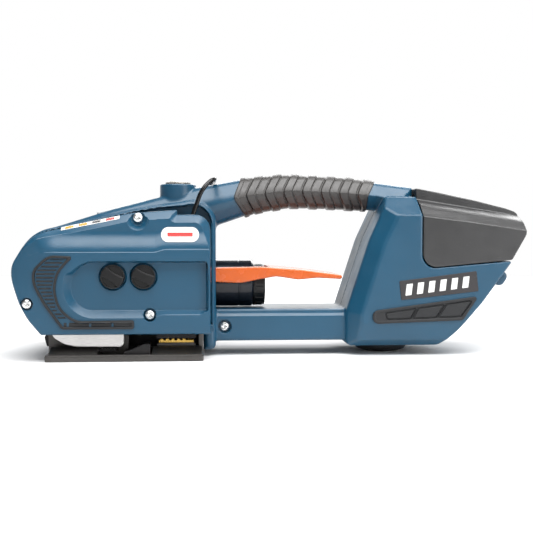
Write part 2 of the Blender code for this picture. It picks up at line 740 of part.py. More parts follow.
def make_welder():
    spin = joint("eccentric_spin", (ECCENTRIC[0], 0, ECCENTRIC[1]))
    x, z = ECCENTRIC
    shaft = cylinder(ECCENTRIC, 3.5, -30.8, 29, sides=16)
    joined(
        shaft,
        cylinder((x, z + 1.2), 5.5, -30.6, -23.5, sides=20),
        cylinder(ECCENTRIC, 6, 19, 24.5, sides=20),
    )
    finished(shaft, "eccentric_shaft", "steel", spin)
    belt = prism([around(PIVOT, 12, ECCENTRIC, 8), around(PIVOT, 10.4, ECCENTRIC, 6.4)], 19.3, 24.2, "y")
    finished(belt, "weld_belt", "rubber")

    shuttle = joint("weld_gripper_shuttle", (x, -31, 14))
    block = box((-84, -40, 13.9), (-56, -22, 15.6))
    joined(block, box((-84, -40, 13.9), (-56, -33, 20)),
           prism([circle((x, z), 10, 24), circle((x, z), 8.2, 24)], -30.5, -24, "y"))
    finished(block, "weld_gripper", "brass", shuttle)

    stroke = joint("cutter_stroke", (-96.2, -28, 20))
    blade = [(-12, 25.5), (-12, 14.5), (-44, 16.5), (-44, 25.5)]
    finished(prism([Vector(point) for point in blade], -97, -95.4, "x"), "cutter_blade", "steel", stroke)


# Controls, wiring and battery

def make_lever():
    pull = joint("lever_pull", (LEVER_PIVOT[0], 0, LEVER_PIVOT[1]))
    lever = chamfered(LEVER, -28, 28, 0.8)
    cut(lever, box((-90, -22, 40), (-1.5, 22, 80)), cylinder(LEVER_PIVOT, 2.8, -40, 40))
    finished(lever, "lever", "orange_plastic", pull)


def make_bail():
    swing = joint("bail_swing", (BAIL_PIVOT[0], 0, BAIL_PIVOT[1]))
    x, z = BAIL_PIVOT
    near = [(x, -32, z), (x, -36.6, z), (x + 0.2, -37.5, z + 1), (-57.6, -37.5, 103.5), (-54.9, -37.5, 110.7),
            (-52.8, -37.5, 117), (-49.5, -36.8, 122.4), (-45.5, -34.5, 126.3), (-42.6, -30.5, 128.4),
            (-42, -26, 128.8)]
    far = [(point[0], -point[1], point[2]) for point in reversed(near)]
    finished(wire(near + far, 1.6), "bail", "steel", swing)


def make_button():
    place = (BUTTON_X, 0, 0)
    ring = prism([circle((BUTTON_X, 0), 9.4, 28), circle((BUTTON_X, 0), 7.9, 28)], 125.9, 127, "z")
    finished(ring, "button_ring", "black_plastic")
    press = joint("button_press", (BUTTON_X, 0, 125))
    dome = [(0, 129.1), (2.8, 128.9), (5.4, 128), (7, 126.4), (7.4, 125), (7.4, 120), (3, 120), (3, 111),
            (0, 111)]
    finished(turned(dome, place, 18), "start_button", "white_plastic", press)


def make_knob(name, centre):
    x, z = centre
    turn = joint(name + "_turn", (x, -RECESS_FLOOR, z))
    knob = bevelled(cylinder(centre, 8.5, -60.6, -RECESS_FLOOR - GAP, sides=24), 0.7)
    bar = bevelled(box((-8, -1.4, -2.2), (8, 1.4, 2.2)), 0.6)
    place = Matrix.Translation(Vector((x, -60.4, z)) * MM) @ Matrix.Rotation(math.radians(35), 4, "Y")
    joined(knob, moved(bar, place), cylinder(centre, 3, -58, -49, sides=14))
    finished(knob, name, "black_plastic", turn)


def make_electronics():
    board = box((-150, -26, 84), (-62, 26, 85.6))
    joined(
        board,
        box((-146, -20, 85), (-128, 4, 88.5)),
        box((-122, -8, 85), (-106, 8, 87.6)),
        box((-100, 12, 85), (-84, 22, 90)),
        box((-120, -22, 85), (-104, -14, 89)),
        cylinder((BUTTON_X, 0), 3.2, 85, 108.5, "z", 12),
        cylinder((-92, -16), 5, 85, 96, "z", 16),
    )
    finished(board, "control_board", "circuit_board")

    panel = bevelled(box((-20, -13, 0), (20, 13, 1.2)), 0.5)
    place = Matrix.Translation(Vector((-111.5, 0, 109.1)) * MM) @ Matrix.Rotation(-math.radians(14.9), 4, "Y")
    finished(moved(panel, place), "display_panel", "display_glass")

    terminal = box((79, -24, 76), (85.5, 24, 94))
    blades = [box((85, y - 0.5, 80), (92, y + 0.5, 91)) for y in (-16, -5, 5, 16)]
    finished(joined(terminal, *blades), "terminal_block", "black_plastic")

    route = [(80.5, 0, 75.5), (80.5, 0, 60), (78, 0, 44), (70, 0, 32), (58, 0, 29.3), (40, 0, 29.3),
             (0, 4, 29.3), (-24, 12, 29.3), (-40, 18.5, 29.3), (-45.8, 20, 30), (-46.6, 20, 35), (-46.6, 20, 74),
             (-48.5, 20, 81), (-54, 20, 84.6), (-61.4, 20, 84.8)]
    finished(wire(route, 1.4), "wiring_loom", "rubber")


def battery_points(depth):
    """The battery's flat-sided form as points, shrunk by depth."""
    half = REAR_HALF - depth
    slope = math.tan(BATTERY_SLOPE)
    low = 64.4 + depth
    front = 108.4 + depth
    rear = 185.5 - depth
    points = []
    for side in (-1, 1):
        for degrees in (180, 201, 223, 245, 267):
            angle = math.radians(degrees)
            points.append((front + BATTERY_CORNER * (1 + math.cos(angle)), side * half,
                           low + BATTERY_CORNER * (1 + math.sin(angle))))
        points += [
            (rear - 12, side * half, low + slope * 60),
            (rear - 1.5, side * half, 86), (rear, side * half, 90 - depth / 2),
            (front, side * half, 101.4 - depth / 2), (142.6, side * half, 97.1 - depth / 2),
            (181.9 - depth, side * half, 91.4 - depth / 2),
            (front, side * (22 - depth / 2), 114 - depth), (148.5, side * (22 - depth / 2), 107.8 - depth),
            (rear, side * (22 - depth / 2), 99 - depth),
        ]
    return points


def make_battery():
    slide = joint("battery_slide", (147, 0, 94))
    case = hull(battery_points(0))
    ridge = [(108.4, 100), (185.3, 93), (185.3, 104, 8), (176, 109, 12), (152.4, 113.9, 40), (112.5, 122.1, 4),
             (108.4, 122.6)]
    joined(case, chamfered(ridge, -18, 18, 2), box((86, -28, 74.5), (112, 28, 97)))
    cut(case, hull(battery_points(2.5)))
    slots = [box((80, y - 1, 79), (93, y + 1, 92)) for y in (-16, -5, 5, 16)]
    vent = box((100, -6, 82), (112, 6, 90))
    cut(case, *slots, vent, box((88.5, -25.5, 77), (109, 25.5, 94.5)))
    finished(case, "battery_case", "battery_plastic", slide)

    cells = []
    for x, z in ((121.4, 77.6), (140.6, 79.2), (159.8, 81), (130.9, 92.6)):
        cells.append(cylinder((x, z), 9.1, -32.5, 32.5, sides=12))
    holder = [(115.5, 73.5), (166, 78), (166, 86), (138, 97), (122, 97), (113.5, 84)]
    plates = [prism(rounded(holder), low, low + 2, "y") for low in (-31, 29)]
    finished(joined(cells[0], *cells[1:], *plates), "battery_cells", "brass", slide)


def rear_slope():
    """Where the latch sits on the rear housing's sloping back, and the way out of it."""
    top = Vector(REAR[7][:2])
    bottom = Vector(REAR[8][:2])
    along = (top - bottom).normalized()
    return top.lerp(bottom, 0.36), along, Vector((along.y, -along.x))


def on_slope(half_length, low, high):
    """A rounded bar's outline on the slope: so long either way, between two heights over the surface."""
    middle, along, out = rear_slope()
    corners = []
    for run, rise in ((-1, low), (1, low), (1, high), (-1, high)):
        place = middle + along * (run * half_length) + out * rise
        corners.append((place.x, place.y, 4.5 if rise == high else 0))
    return rounded(corners)


def latch_slot():
    return prism(on_slope(6.6, -8, 8), -31, 31, "y")


def make_latch():
    middle, _, _ = rear_slope()
    press = joint("latch_press", (middle.x, 0, middle.y))
    latch = prism(on_slope(5.6, -5, 8.2), -30, 30, "y")
    finished(latch, "battery_latch", "blue_plastic", press)


def clear_scene():
    for obj in list(bpy.data.objects):
        bpy.data.objects.remove(obj)


def main():
    clear_scene()
    collection = bpy.data.collections.new("strapping_tool")
    bpy.context.scene.collection.children.link(collection)
    make_body()
    finished(make_cover(), "side_cover", "blue_plastic")
    finished(make_far_cover(), "far_cover", "blue_plastic")
    finished(make_grip(), "handle_grip", "grey_plastic")
    make_pads()
    make_fasteners()
    make_base()
    make_frame()
    make_motor()
    make_gearbox()
    make_cross_shaft()
    make_rocker()
    make_spring()
    make_welder()
    make_lever()
    make_bail()
    make_button()
    make_knob("tension_knob", TENSION_KNOB)
    make_knob("weld_knob", WELD_KNOB)
    make_electronics()
    make_battery()
    make_latch()


main()
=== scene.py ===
"""The looks of the battery strapping tool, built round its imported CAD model.

World frame in metres, as in the CAD: +X from the strapping head to the battery, +Y away from the side cover,
+Z up. Shapes are written in millimetres as distance fields, negative inside, and meshed at the end.
"""

import math

import bmesh
import bpy
import numpy as np
from mathutils import Matrix, Vector


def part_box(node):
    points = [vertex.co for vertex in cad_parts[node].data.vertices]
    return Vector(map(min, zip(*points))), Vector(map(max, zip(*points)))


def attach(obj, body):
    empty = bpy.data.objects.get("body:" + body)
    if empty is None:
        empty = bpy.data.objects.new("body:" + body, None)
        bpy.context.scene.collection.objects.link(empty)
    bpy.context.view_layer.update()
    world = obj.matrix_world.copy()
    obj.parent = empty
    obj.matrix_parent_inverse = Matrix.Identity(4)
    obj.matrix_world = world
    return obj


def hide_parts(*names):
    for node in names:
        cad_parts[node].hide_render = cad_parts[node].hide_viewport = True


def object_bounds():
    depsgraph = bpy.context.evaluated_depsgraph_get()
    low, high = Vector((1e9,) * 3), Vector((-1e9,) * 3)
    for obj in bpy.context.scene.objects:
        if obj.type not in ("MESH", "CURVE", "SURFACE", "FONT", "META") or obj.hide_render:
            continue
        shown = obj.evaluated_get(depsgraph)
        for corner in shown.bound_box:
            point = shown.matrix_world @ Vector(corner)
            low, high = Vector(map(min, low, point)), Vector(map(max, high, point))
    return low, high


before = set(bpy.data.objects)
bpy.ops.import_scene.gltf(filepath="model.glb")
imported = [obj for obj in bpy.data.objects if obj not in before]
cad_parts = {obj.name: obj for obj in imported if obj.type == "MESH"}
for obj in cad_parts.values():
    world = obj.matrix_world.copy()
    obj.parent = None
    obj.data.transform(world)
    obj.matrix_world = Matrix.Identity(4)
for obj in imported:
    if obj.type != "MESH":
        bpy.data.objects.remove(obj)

CAD_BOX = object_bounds()

# Driving dimensions, mm
MM = 0.001
COARSE = 1.0
WALL = 2.6
HEAD_HALF = 34.0
HEAD_RIM = 3.2
COVER_FACE = 62.0
COVER_BACK = 34.3
RECESS_FLOOR = 57.0
UPPER_DROP = 5.0
REAR_HALF = 43.0
SEAM = 0.15
BUTTON_X = -69.2
MOTOR_Z = 51.8
LEVER_PIVOT = (-62.0, 57.0)
BAIL_PIVOT = (-58.5, 98.0)
KNOBS = {"tension_knob": (-113.4, 58.9, 33.0), "weld_knob": (-92.2, 58.8, 24.0)}
COVER_SCREWS = {"top": (-96.0, 99.9), "lower": (-87.7, 32.2), "nose": (-171.9, 40.3)}
BEAM_SCREW = (-35.2, 21.1)
CAMERA_LENS = 65.15
CAMERA_DISTANCE = 733.6
CAMERA_AIM = (-2.25, -3.05)  # from the middle of the CAD, along X and Z

# Outlines seen from the side, as (x, z) or (x, z, corner radius), mm
HEAD = [(-163.5, 19, 2), (-173.8, 29.7, 40), (-180.3, 41.1, 40), (-185.8, 56.8, 30), (-185.8, 69.3, 18),
        (-172.4, 89.9, 29), (-96, 107, 60), (-41.4, 115.5, 17), (-41.4, 4.5, 6), (-50.3, 4.5, 1),
        (-50.3, 19, 1)]
COVER = [(-162.3, 18.9, 2), (-171.7, 29.7, 40), (-178, 41.1, 40), (-183.1, 56.8, 30), (-183.1, 66.7, 18),
         (-169.3, 88, 29), (-103, 102.9, 40), (-69, 105.4), (-69, 102), (-45.6, 102.2, 16),
         (-45.6, 18.9, 1.5)]
RECESS_INNER = [(-142, 35.5, 16.4), (-142, 68.6, 16.4), (-48.4, 68.6, 1), (-48.4, 35.5, 1)]
SPINE = [(-170, 90.5, 3), (-118, 106.8, 40), (-55, 123.1, 60), (-22, 129.2, 60), (10, 132.2, 80),
         (57, 130, 60), (108, 123.6), (108, 100), (78, 106.5, 10), (46, 108.2, 60), (15, 109, 60),
         (-10.4, 104.9, 60), (-41, 94.5, 6), (-44, 72), (-170, 72)]
REAR = [(53.5, 6.4, 5), (53.5, 32, 15), (60.9, 54.8, 60), (70.4, 84.1, 60), (85.5, 116.5, 4), (108, 116.5),
        (108, 63, 9.5), (174.6, 68.8, 1), (152.6, 38.6, 60), (134.5, 18, 4), (121.5, 6.4, 6)]
REAR_FRONT = [(53.5, -60), (53.5, 32, 15), (60.9, 54.8, 60), (70.4, 84.1, 60), (85.5, 116.5), (105, 158),
              (300, 158), (300, -60)]
GRIP_ENDS = [(-18, 140), (-28.4, 115, 6), (-14.2, 95), (72.5, 95), (72.5, 117, 6), (86, 140)]
LEVER = [(-69, 51, 5), (-69, 63.6, 5), (-41, 63.9), (-8, 64.5, 30), (22, 62.2, 60), (51.5, 58.3, 1.5),
         (51.5, 55.2, 1.5), (33, 56.2, 30), (19, 54.9, 20), (3, 57.4, 15), (-8, 55.6, 20), (-23, 52.6, 30),
         (-41, 53.4)]
PAD = [(-139.6, 73, 1.2), (-157, 74, 12), (-168.3, 63.2, 12), (-167.2, 53, 16), (-160.5, 40.5, 30),
       (-147.8, 22.9, 3), (-98.4, 22.8, 1.5), (-98.4, 29, 1.5), (-138.5, 28.6, 14), (-149.2, 37.5, 18),
       (-152.3, 50.5, 18), (-150, 61.5, 14), (-144.5, 68, 10)]
REAR_PAD = [(71.4, 32.9, 4.5), (149.2, 43.3, 1.5), (137.5, 25.8, 3), (71.6, 23.4, 4.5)]
REAR_PAD_CELLS = [[(80.5, 31.2, 1), (103, 34.4, 0.5), (98.8, 27.2, 0.5), (82, 26.8, 1)],
                  [(104.6, 34.6, 0.5), (123.6, 37.2, 0.5), (117.6, 27.9, 0.5), (100.4, 27.3, 0.5)],
                  [(125.2, 37.4, 0.5), (144.6, 40.2, 1), (136, 28.6, 1), (119.2, 28, 0.5)]]
GUARD = [(-157.5, 21), (-154.5, 15.8, 8), (-147.5, 11.4, 14), (-139, 9.6, 14), (-108.5, 9.4, 2),
         (-106.3, 11.2, 2), (-106.3, 46.5), (-150, 46.5)]

# Outlines seen along the tool, as (distance from the middle plane, z, corner radius), mm
BEAM_SECTION = [(-40, 10.5), (28.6, 10.5, 1.5), (30, 12, 1.5), (30, 28.4, 1), (28, 30.9, 0.5),
                (28, 33.5, 1), (-40, 33.5)]
REAR_SECTION = [(-50, 6.4), (33, 6.4, 3), (40.4, 11.6, 2), (43, 23.5, 9), (43, 102.3, 1.5), (20, 116.5, 3),
                (-50, 116.5)]

# The battery's edges over x, mm
RIDGE = [(100, 60), (200, 60), (200, 91), (187.5, 91, 4), (187.5, 104, 12), (176, 108, 30),
         (152.4, 113.9, 60), (129.2, 118.8, 60), (112.5, 122.2, 3), (108.4, 122.8, 1), (108.4, 60)]
BATTERY_SIDE = [(108.4, 63.4, 10), (108.4, 130), (187.6, 130), (185, 88, 8), (174.4, 69.5, 1.5)]
CREASE_X = (100, 108, 142.6, 181.9, 192)
CREASE_Z = (102.3, 101.4, 97.1, 91.4, 90)
SHOULDER_X = (100, 111, 148.5, 180, 187, 192)
SHOULDER_Z = (115.5, 113.7, 107.8, 102.8, 101, 98.5)


# Distance fields: plane outlines

def unit(vector):
    return vector / np.linalg.norm(vector)


class Outline:
    """The signed distance to a closed outline of straight sides and round corners."""

    def __init__(self, corners, depth=8.0):
        """The depth is how far behind a hollow corner's arc the shape is solid."""
        self.depth = depth
        points = np.array([corner[:2] for corner in corners], float)
        ahead = np.roll(points, -1, axis=0)
        if np.sum(points[:, 0] * ahead[:, 1] - ahead[:, 0] * points[:, 1]) < 0:
            corners = corners[::-1]
            points = points[::-1]
        self.points = points
        self.arcs = []
        for i, corner in enumerate(corners):
            if len(corner) > 2:
                self.arcs.append(self.arc(i, corner[2]))

    def arc(self, i, radius):
        """A corner's arc: its centre, radius, whether it bulges outwards, and its two end directions."""
        here = self.points[i]
        to_before = self.points[i - 1] - here
        to_after = self.points[(i + 1) % len(self.points)] - here
        lengths = np.linalg.norm(to_before), np.linalg.norm(to_after)
        to_before, to_after = unit(to_before), unit(to_after)
        half = math.acos(np.clip(to_before.dot(to_after), -1, 1)) / 2
        reach = min(radius / math.tan(half), 0.48 * lengths[0], 0.48 * lengths[1])
        radius = reach * math.tan(half)
        centre = here + unit(to_before + to_after) * (radius / math.sin(half))
        bulges = -to_before[0] * to_after[1] + to_before[1] * to_after[0] > 0
        first = here + to_before * reach - centre
        second = here + to_after * reach - centre
        if not bulges:
            first, second = second, first
        return centre, radius, bulges, first, second

    def __call__(self, u, v):
        shape = np.broadcast_shapes(np.shape(u), np.shape(v))
        nearest = np.full(shape, 1e9, np.result_type(u, v))
        inside = np.zeros(shape, bool)
        for a, b in zip(self.points, np.roll(self.points, -1, axis=0)):
            side = b - a
            du = u - a[0]
            dv = v - a[1]
            along = np.clip((du * side[0] + dv * side[1]) / side.dot(side), 0, 1)
            nearest = np.minimum(nearest, (du - along * side[0]) ** 2 + (dv - along * side[1]) ** 2)
            if side[1]:
                inside ^= ((a[1] > v) != (b[1] > v)) & (u < side[0] * dv / side[1] + a[0])
        distance = np.sqrt(nearest)
        distance = np.where(inside, -distance, distance)
        for centre, radius, bulges, first, second in self.arcs:
            du = u - centre[0]
            dv = v - centre[1]
            far = np.hypot(du, dv)
            between = (first[0] * dv - first[1] * du >= 0) & (second[0] * dv - second[1] * du <= 0)
            if bulges:
                distance = np.where(between, np.maximum(distance, far - radius), distance)
            else:
                between &= far < radius + self.depth
                distance = np.where(between, np.minimum(distance, radius - far), distance)
        return distance


def both(a, b, radius=0.0):
    """What is in a and in b, its edge rounded."""
    if not radius:
        return np.maximum(a, b)
    outer = np.hypot(np.maximum(a + radius, 0), np.maximum(b + radius, 0))
    return np.minimum(np.maximum(a, b), -radius) + outer


def either(a, b, radius=0.0):
    """What is in a or in b, with a fillet between them."""
    return -both(-a, -b, radius)


def without(a, b, radius=0.0):
    return both(a, -b, radius)


def bevelled(a, b, width, radius=0.0):
    """What is in a and in b, its edge cut at 45 degrees."""
    return both(both(a, b, radius), (a + b + width) * math.sqrt(0.5), radius)


def block(x, y, z, low, high, radius=0.0):
    sides = [np.abs(value - (a + b) / 2) - (b - a) / 2 for value, a, b in zip((x, y, z), low, high)]
    return both(both(sides[0], sides[1], radius), sides[2], radius)


def rod(u, v, centre, radius):
    return np.hypot(u - centre[0], v - centre[1]) - radius


def ease(value, start, end):
    """0 before start and 1 after end, with a smooth step between."""
    t = np.clip((value - start) / (end - start), 0, 1)
    return t * t * (3 - 2 * t)


# Meshing

EDGES = [((0, 0, 0), (1, 0, 0)), ((0, 1, 0), (1, 1, 0)), ((0, 0, 1), (1, 0, 1)), ((0, 1, 1), (1, 1, 1)),
         ((0, 0, 0), (0, 1, 0)), ((1, 0, 0), (1, 1, 0)), ((0, 0, 1), (0, 1, 1)), ((1, 0, 1), (1, 1, 1)),
         ((0, 0, 0), (0, 0, 1)), ((1, 0, 0), (1, 0, 1)), ((0, 1, 0), (0, 1, 1)), ((1, 1, 0), (1, 1, 1))]


def slope(field, points, reach):
    """The field's gradient at each point, from differences over twice the reach."""
    parts = []
    for axis in range(3):
        step = np.zeros(3)
        step[axis] = reach
        parts.append(field(*(points + step).T) - field(*(points - step).T))
    return np.stack(parts, axis=1) / (2 * reach)


def netted(field, low, high, step):
    """Points and four-sided faces of the surface where the field is 0, by surface nets."""
    axes = [np.arange(a - step, b + 2 * step, step, dtype=np.float32) for a, b in zip(low, high)]
    sizes = [len(axis) for axis in axes]
    values = np.empty(sizes, np.float32)
    values[:] = field(axes[0][:, None, None], axes[1][None, :, None], axes[2][None, None, :])
    solid = values < 0
    count = sum(
        solid[i:sizes[0] - 1 + i, j:sizes[1] - 1 + j, k:sizes[2] - 1 + k].astype(np.uint8)
        for i in (0, 1) for j in (0, 1) for k in (0, 1)
    )
    cells = np.argwhere((count > 0) & (count < 8))
    number = np.full(count.shape, -1, np.int32)
    number[tuple(cells.T)] = np.arange(len(cells))
    total = np.zeros((len(cells), 3))
    hits = np.zeros(len(cells))
    for a, b in EDGES:
        first = values[tuple((cells + a).T)]
        second = values[tuple((cells + b).T)]
        crossed = (first < 0) != (second < 0)
        share = np.where(crossed, first / np.where(crossed, first - second, 1), 0)
        total += crossed[:, None] * (np.array(a) + share[:, None] * (np.array(b) - np.array(a)))
        hits += crossed
    points = np.array([axis[0] for axis in axes]) + (cells + total / hits[:, None]) * step
    faces = []
    for axis in range(3):
        across, up = [i for i in range(3) if i != axis]
        if axis == 1:
            across, up = up, across
        ahead = np.roll(solid, -1, axis=axis)
        change = solid != ahead
        index = [slice(1, -1)] * 3
        index[axis] = slice(0, -1)
        found = np.argwhere(change[tuple(index)]) + [0 if i == axis else 1 for i in range(3)]
        corners = []
        for back_across, back_up in ((1, 1), (0, 1), (0, 0), (1, 0)):
            cell = found.copy()
            cell[:, across] -= back_across
            cell[:, up] -= back_up
            corners.append(number[tuple(cell.T)])
        quads = np.stack(corners, axis=1)
        inward = ~solid[tuple(found.T)]
        quads[inward] = quads[inward][:, ::-1]
        faces.append(quads)
    return points, np.concatenate(faces)


def meshed(field, low, high, step):
    """A mesh of the surface where the field is 0: flat stretches become single faces, and the shading normals
    are the field's own."""
    step *= COARSE
    points, faces = netted(field, low, high, step)
    here = field(*points.T)
    grade = np.stack([field(*(points + 0.05 * axis).T) - here for axis in np.eye(3)], axis=1) / 0.05
    size = np.maximum(np.sum(grade ** 2, axis=1), 0.05)
    for _ in range(2):
        push = grade * (here / size)[:, None]
        length = np.linalg.norm(push, axis=1)
        points = points - push * np.minimum(1, 0.6 * step / np.maximum(length, 1e-9))[:, None]
        here = field(*points.T)
    mesh = bpy.data.meshes.new("piece")
    mesh.from_pydata(points * MM, [], faces.tolist())
    shape = bmesh.new()
    shape.from_mesh(mesh)
    bmesh.ops.dissolve_limit(shape, angle_limit=math.radians(0.6), verts=shape.verts, edges=shape.edges)
    bmesh.ops.delete(shape, geom=[vert for vert in shape.verts if not vert.link_faces], context="VERTS")
    shape.to_mesh(mesh)
    shape.free()
    shade(mesh, field, step)
    return mesh


def shade(mesh, field, step):
    """Gives each corner the field's normal, except on the large flat faces, which keep their own."""
    mesh.shade_smooth()
    points = np.empty(len(mesh.vertices) * 3)
    mesh.vertices.foreach_get("co", points)
    normals = slope(field, points.reshape(-1, 3) / MM, 0.12)
    normals /= np.maximum(np.linalg.norm(normals, axis=1), 1e-6)[:, None]
    corner = np.empty(len(mesh.loops), np.int32)
    mesh.loops.foreach_get("vertex_index", corner)
    sizes = np.empty(len(mesh.polygons), np.int32)
    mesh.polygons.foreach_get("loop_total", sizes)
    areas = np.empty(len(mesh.polygons))
    mesh.polygons.foreach_get("area", areas)
    flat = np.empty(len(mesh.polygons) * 3)
    mesh.polygons.foreach_get("normal", flat)
    wide = np.repeat(areas > (2.5 * step * MM) ** 2, sizes)
    own = np.repeat(flat.reshape(-1, 3), sizes, axis=0)
    mesh.normals_split_custom_set(np.where(wide[:, None], own, normals[corner]).tolist())


def mirrored(mesh):
    """The mesh on the other side of the tool's middle plane."""
    normals = np.empty(len(mesh.loops) * 3)
    mesh.corner_normals.foreach_get("vector", normals)
    starts = np.empty(len(mesh.polygons), np.int32)
    mesh.polygons.foreach_get("loop_start", starts)
    sizes = np.empty(len(mesh.polygons), np.int32)
    mesh.polygons.foreach_get("loop_total", sizes)
    normals = normals.reshape(-1, 3) * (1, -1, 1)
    order = np.arange(len(normals))
    for start, size in zip(starts, sizes):  # a flipped face keeps its first corner and turns the rest round
        order[start + 1:start + size] = order[start + 1:start + size][::-1]
    copy = mesh.copy()
    copy.transform(Matrix.Diagonal((1, -1, 1, 1)))
    copy.flip_normals()
    copy.normals_split_custom_set(normals[order].tolist())
    return copy


def placed(mesh, name, material, body, stands_for=()):
    """Makes the mesh a piece of the tool."""
    mesh.name = name
    obj = bpy.data.objects.new(name, mesh)
    bpy.context.scene.collection.objects.link(obj)
    mesh.materials.clear()
    mesh.materials.append(MATERIALS[material])
    if stands_for:
        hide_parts(*stands_for)
    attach(obj, body)
    return obj


def arcs(corners, turn=math.radians(9)):
    """The points of an outline with round corners."""
    points = [Vector(corner[:2]) for corner in corners]
    outline = []
    for i, corner in enumerate(corners):
        here = points[i]
        if len(corner) < 3:
            outline.append(here)
            continue
        to_before = points[i - 1] - here
        to_after = points[(i + 1) % len(points)] - here
        half = to_before.angle(to_after) / 2
        reach = min(corner[2] / math.tan(half), 0.48 * to_before.length, 0.48 * to_after.length)
        radius = reach * math.tan(half)
        inward = (to_before.normalized() + to_after.normalized()).normalized()
        centre = here + inward * radius / math.sin(half)
        start = here + to_before.normalized() * reach - centre
        end = here + to_after.normalized() * reach - centre
        sweep = math.atan2(start.cross(end), start.dot(end))
        steps = max(1, math.ceil(abs(sweep) / turn))
        outline += [centre + Matrix.Rotation(sweep * j / steps, 2) @ start for j in range(steps + 1)]
    return outline


def turned(profile, matrix, sides=72, sharp=35):
    """A turned shape from a closed (radius, height) profile. Corners on the axis close the shape there."""
    shape = bmesh.new()
    rings = []
    for radius, height in arcs(profile):
        if radius < 1e-6:
            rings.append([shape.verts.new((0, 0, height * MM))] * sides)
            continue
        angles = [2 * math.pi * i / sides for i in range(sides)]
        rings.append([shape.verts.new((radius * MM * math.cos(a), radius * MM * math.sin(a), height * MM))
                      for a in angles])
    for first, second in zip(rings, rings[1:] + rings[:1]):
        for i in range(sides):
            corners = []
            for vert in (first[i - 1], first[i], second[i], second[i - 1]):
                if vert not in corners:
                    corners.append(vert)
            if len(corners) > 2:
                shape.faces.new(corners)
    bmesh.ops.recalc_face_normals(shape, faces=shape.faces)
    bmesh.ops.transform(shape, matrix=matrix, verts=shape.verts)
    mesh = bpy.data.meshes.new("piece")
    shape.to_mesh(mesh)
    shape.free()
    mesh.shade_smooth()
    mesh.set_sharp_from_angle(angle=math.radians(sharp))
    return mesh


# Materials

def srgb(red, green, blue):
    """A colour given on the usual 0 to 255 scale, as the linear values that a shader takes."""
    shares = (red / 255, green / 255, blue / 255)
    linear = [c / 12.92 if c <= 0.04045 else ((c + 0.055) / 1.055) ** 2.4 for c in shares]
    return (*linear, 1)


class Shading:
    """A material's node tree, built a node at a time."""

    def __init__(self, name):
        self.material = bpy.data.materials.new(name)
        self.material.use_nodes = True
        self.tree = self.material.node_tree
        self.shader = self.tree.nodes["Principled BSDF"]
        self.place = self.tree.nodes.new("ShaderNodeTexCoord").outputs["Object"]

    def feed(self, socket, value):
        if isinstance(value, bpy.types.NodeSocket):
            self.tree.links.new(value, socket)
        else:
            socket.default_value = value

    def stretched(self, scale):
        node = self.tree.nodes.new("ShaderNodeMapping")
        node.inputs["Scale"].default_value = scale
        self.feed(node.inputs["Vector"], self.place)
        return node.outputs["Vector"]

    def noise(self, size, detail=2.0, place=None, distortion=0.0):
        """Noise with features of about this size in mm."""
        node = self.tree.nodes.new("ShaderNodeTexNoise")
        self.feed(node.inputs["Vector"], place or self.place)
        node.inputs["Scale"].default_value = 1 / (size * MM)
        node.inputs["Detail"].default_value = detail
        node.inputs["Distortion"].default_value = distortion
        return node.outputs["Fac"]

    def spread(self, value, low, high, bottom, top):
        """The value, stretched from between low and high to between bottom and top."""
        node = self.tree.nodes.new("ShaderNodeMapRange")
        names = ("Value", "From Min", "From Max", "To Min", "To Max")
        for name, number in zip(names, (value, low, high, bottom, top)):
            self.feed(node.inputs[name], number)
        return node.outputs["Result"]

    def mixed(self, factor, first, second):
        node = self.tree.nodes.new("ShaderNodeMix")
        node.data_type = "RGBA"
        self.feed(node.inputs["Factor"], factor)
        self.feed([s for s in node.inputs if s.name == "A" and s.type == "RGBA"][0], first)
        self.feed([s for s in node.inputs if s.name == "B" and s.type == "RGBA"][0], second)
        return [s for s in node.outputs if s.type == "RGBA"][0]

    def bumped(self, height, depth, under=None):
        node = self.tree.nodes.new("ShaderNodeBump")
        node.inputs["Distance"].default_value = depth * MM
        node.inputs["Strength"].default_value = 1.0
        self.feed(node.inputs["Height"], height)
        if under:
            self.feed(node.inputs["Normal"], under)
        return node.outputs["Normal"]

    def finish(self, colour, roughness, normal, metallic=0.0, specular=0.5, coat=0.0):
        self.feed(self.shader.inputs["Base Color"], colour)
        self.feed(self.shader.inputs["Roughness"], roughness)
        self.feed(self.shader.inputs["Normal"], normal)
        self.shader.inputs["Metallic"].default_value = metallic
        self.shader.inputs["Specular IOR Level"].default_value = specular
        self.shader.inputs["Coat Weight"].default_value = coat
        self.shader.inputs["Coat Roughness"].default_value = 0.15
        return self.material


def scaled(colour, factor):
    return (*(c * factor for c in colour[:3]), 1)


def moulded(name, colour, roughness, grain=0.5, depth=0.03, specular=0.5, coat=0.0, marks=0.5):
    """Moulded plastic or rubber: a fine grain, slow changes of shade and sheen, and a few rubbed marks."""
    s = Shading(name)
    shade_of = s.mixed(s.spread(s.noise(45, 3), 0.3, 0.7, 0, 1), scaled(colour, 0.93), scaled(colour, 1.07))
    speck = s.spread(s.noise(0.8, 1), 0.35, 0.65, 0, 0.12)
    shade_of = s.mixed(speck, shade_of, scaled(colour, 0.75))
    rub = s.spread(s.noise(6, 6, s.stretched((1, 1, 2.2)), 1.2), 0.66, 0.76, 0, marks * 0.25)
    pale = (*(0.6 * c + 0.12 for c in colour[:3]), 1)
    shade_of = s.mixed(rub, shade_of, pale)
    sheen = s.spread(s.noise(9, 4), 0.3, 0.7, roughness - 0.05, roughness + 0.05)
    normal = s.bumped(s.noise(grain, 2), depth)
    return s.finish(shade_of, sheen, normal, 0.0, specular, coat)


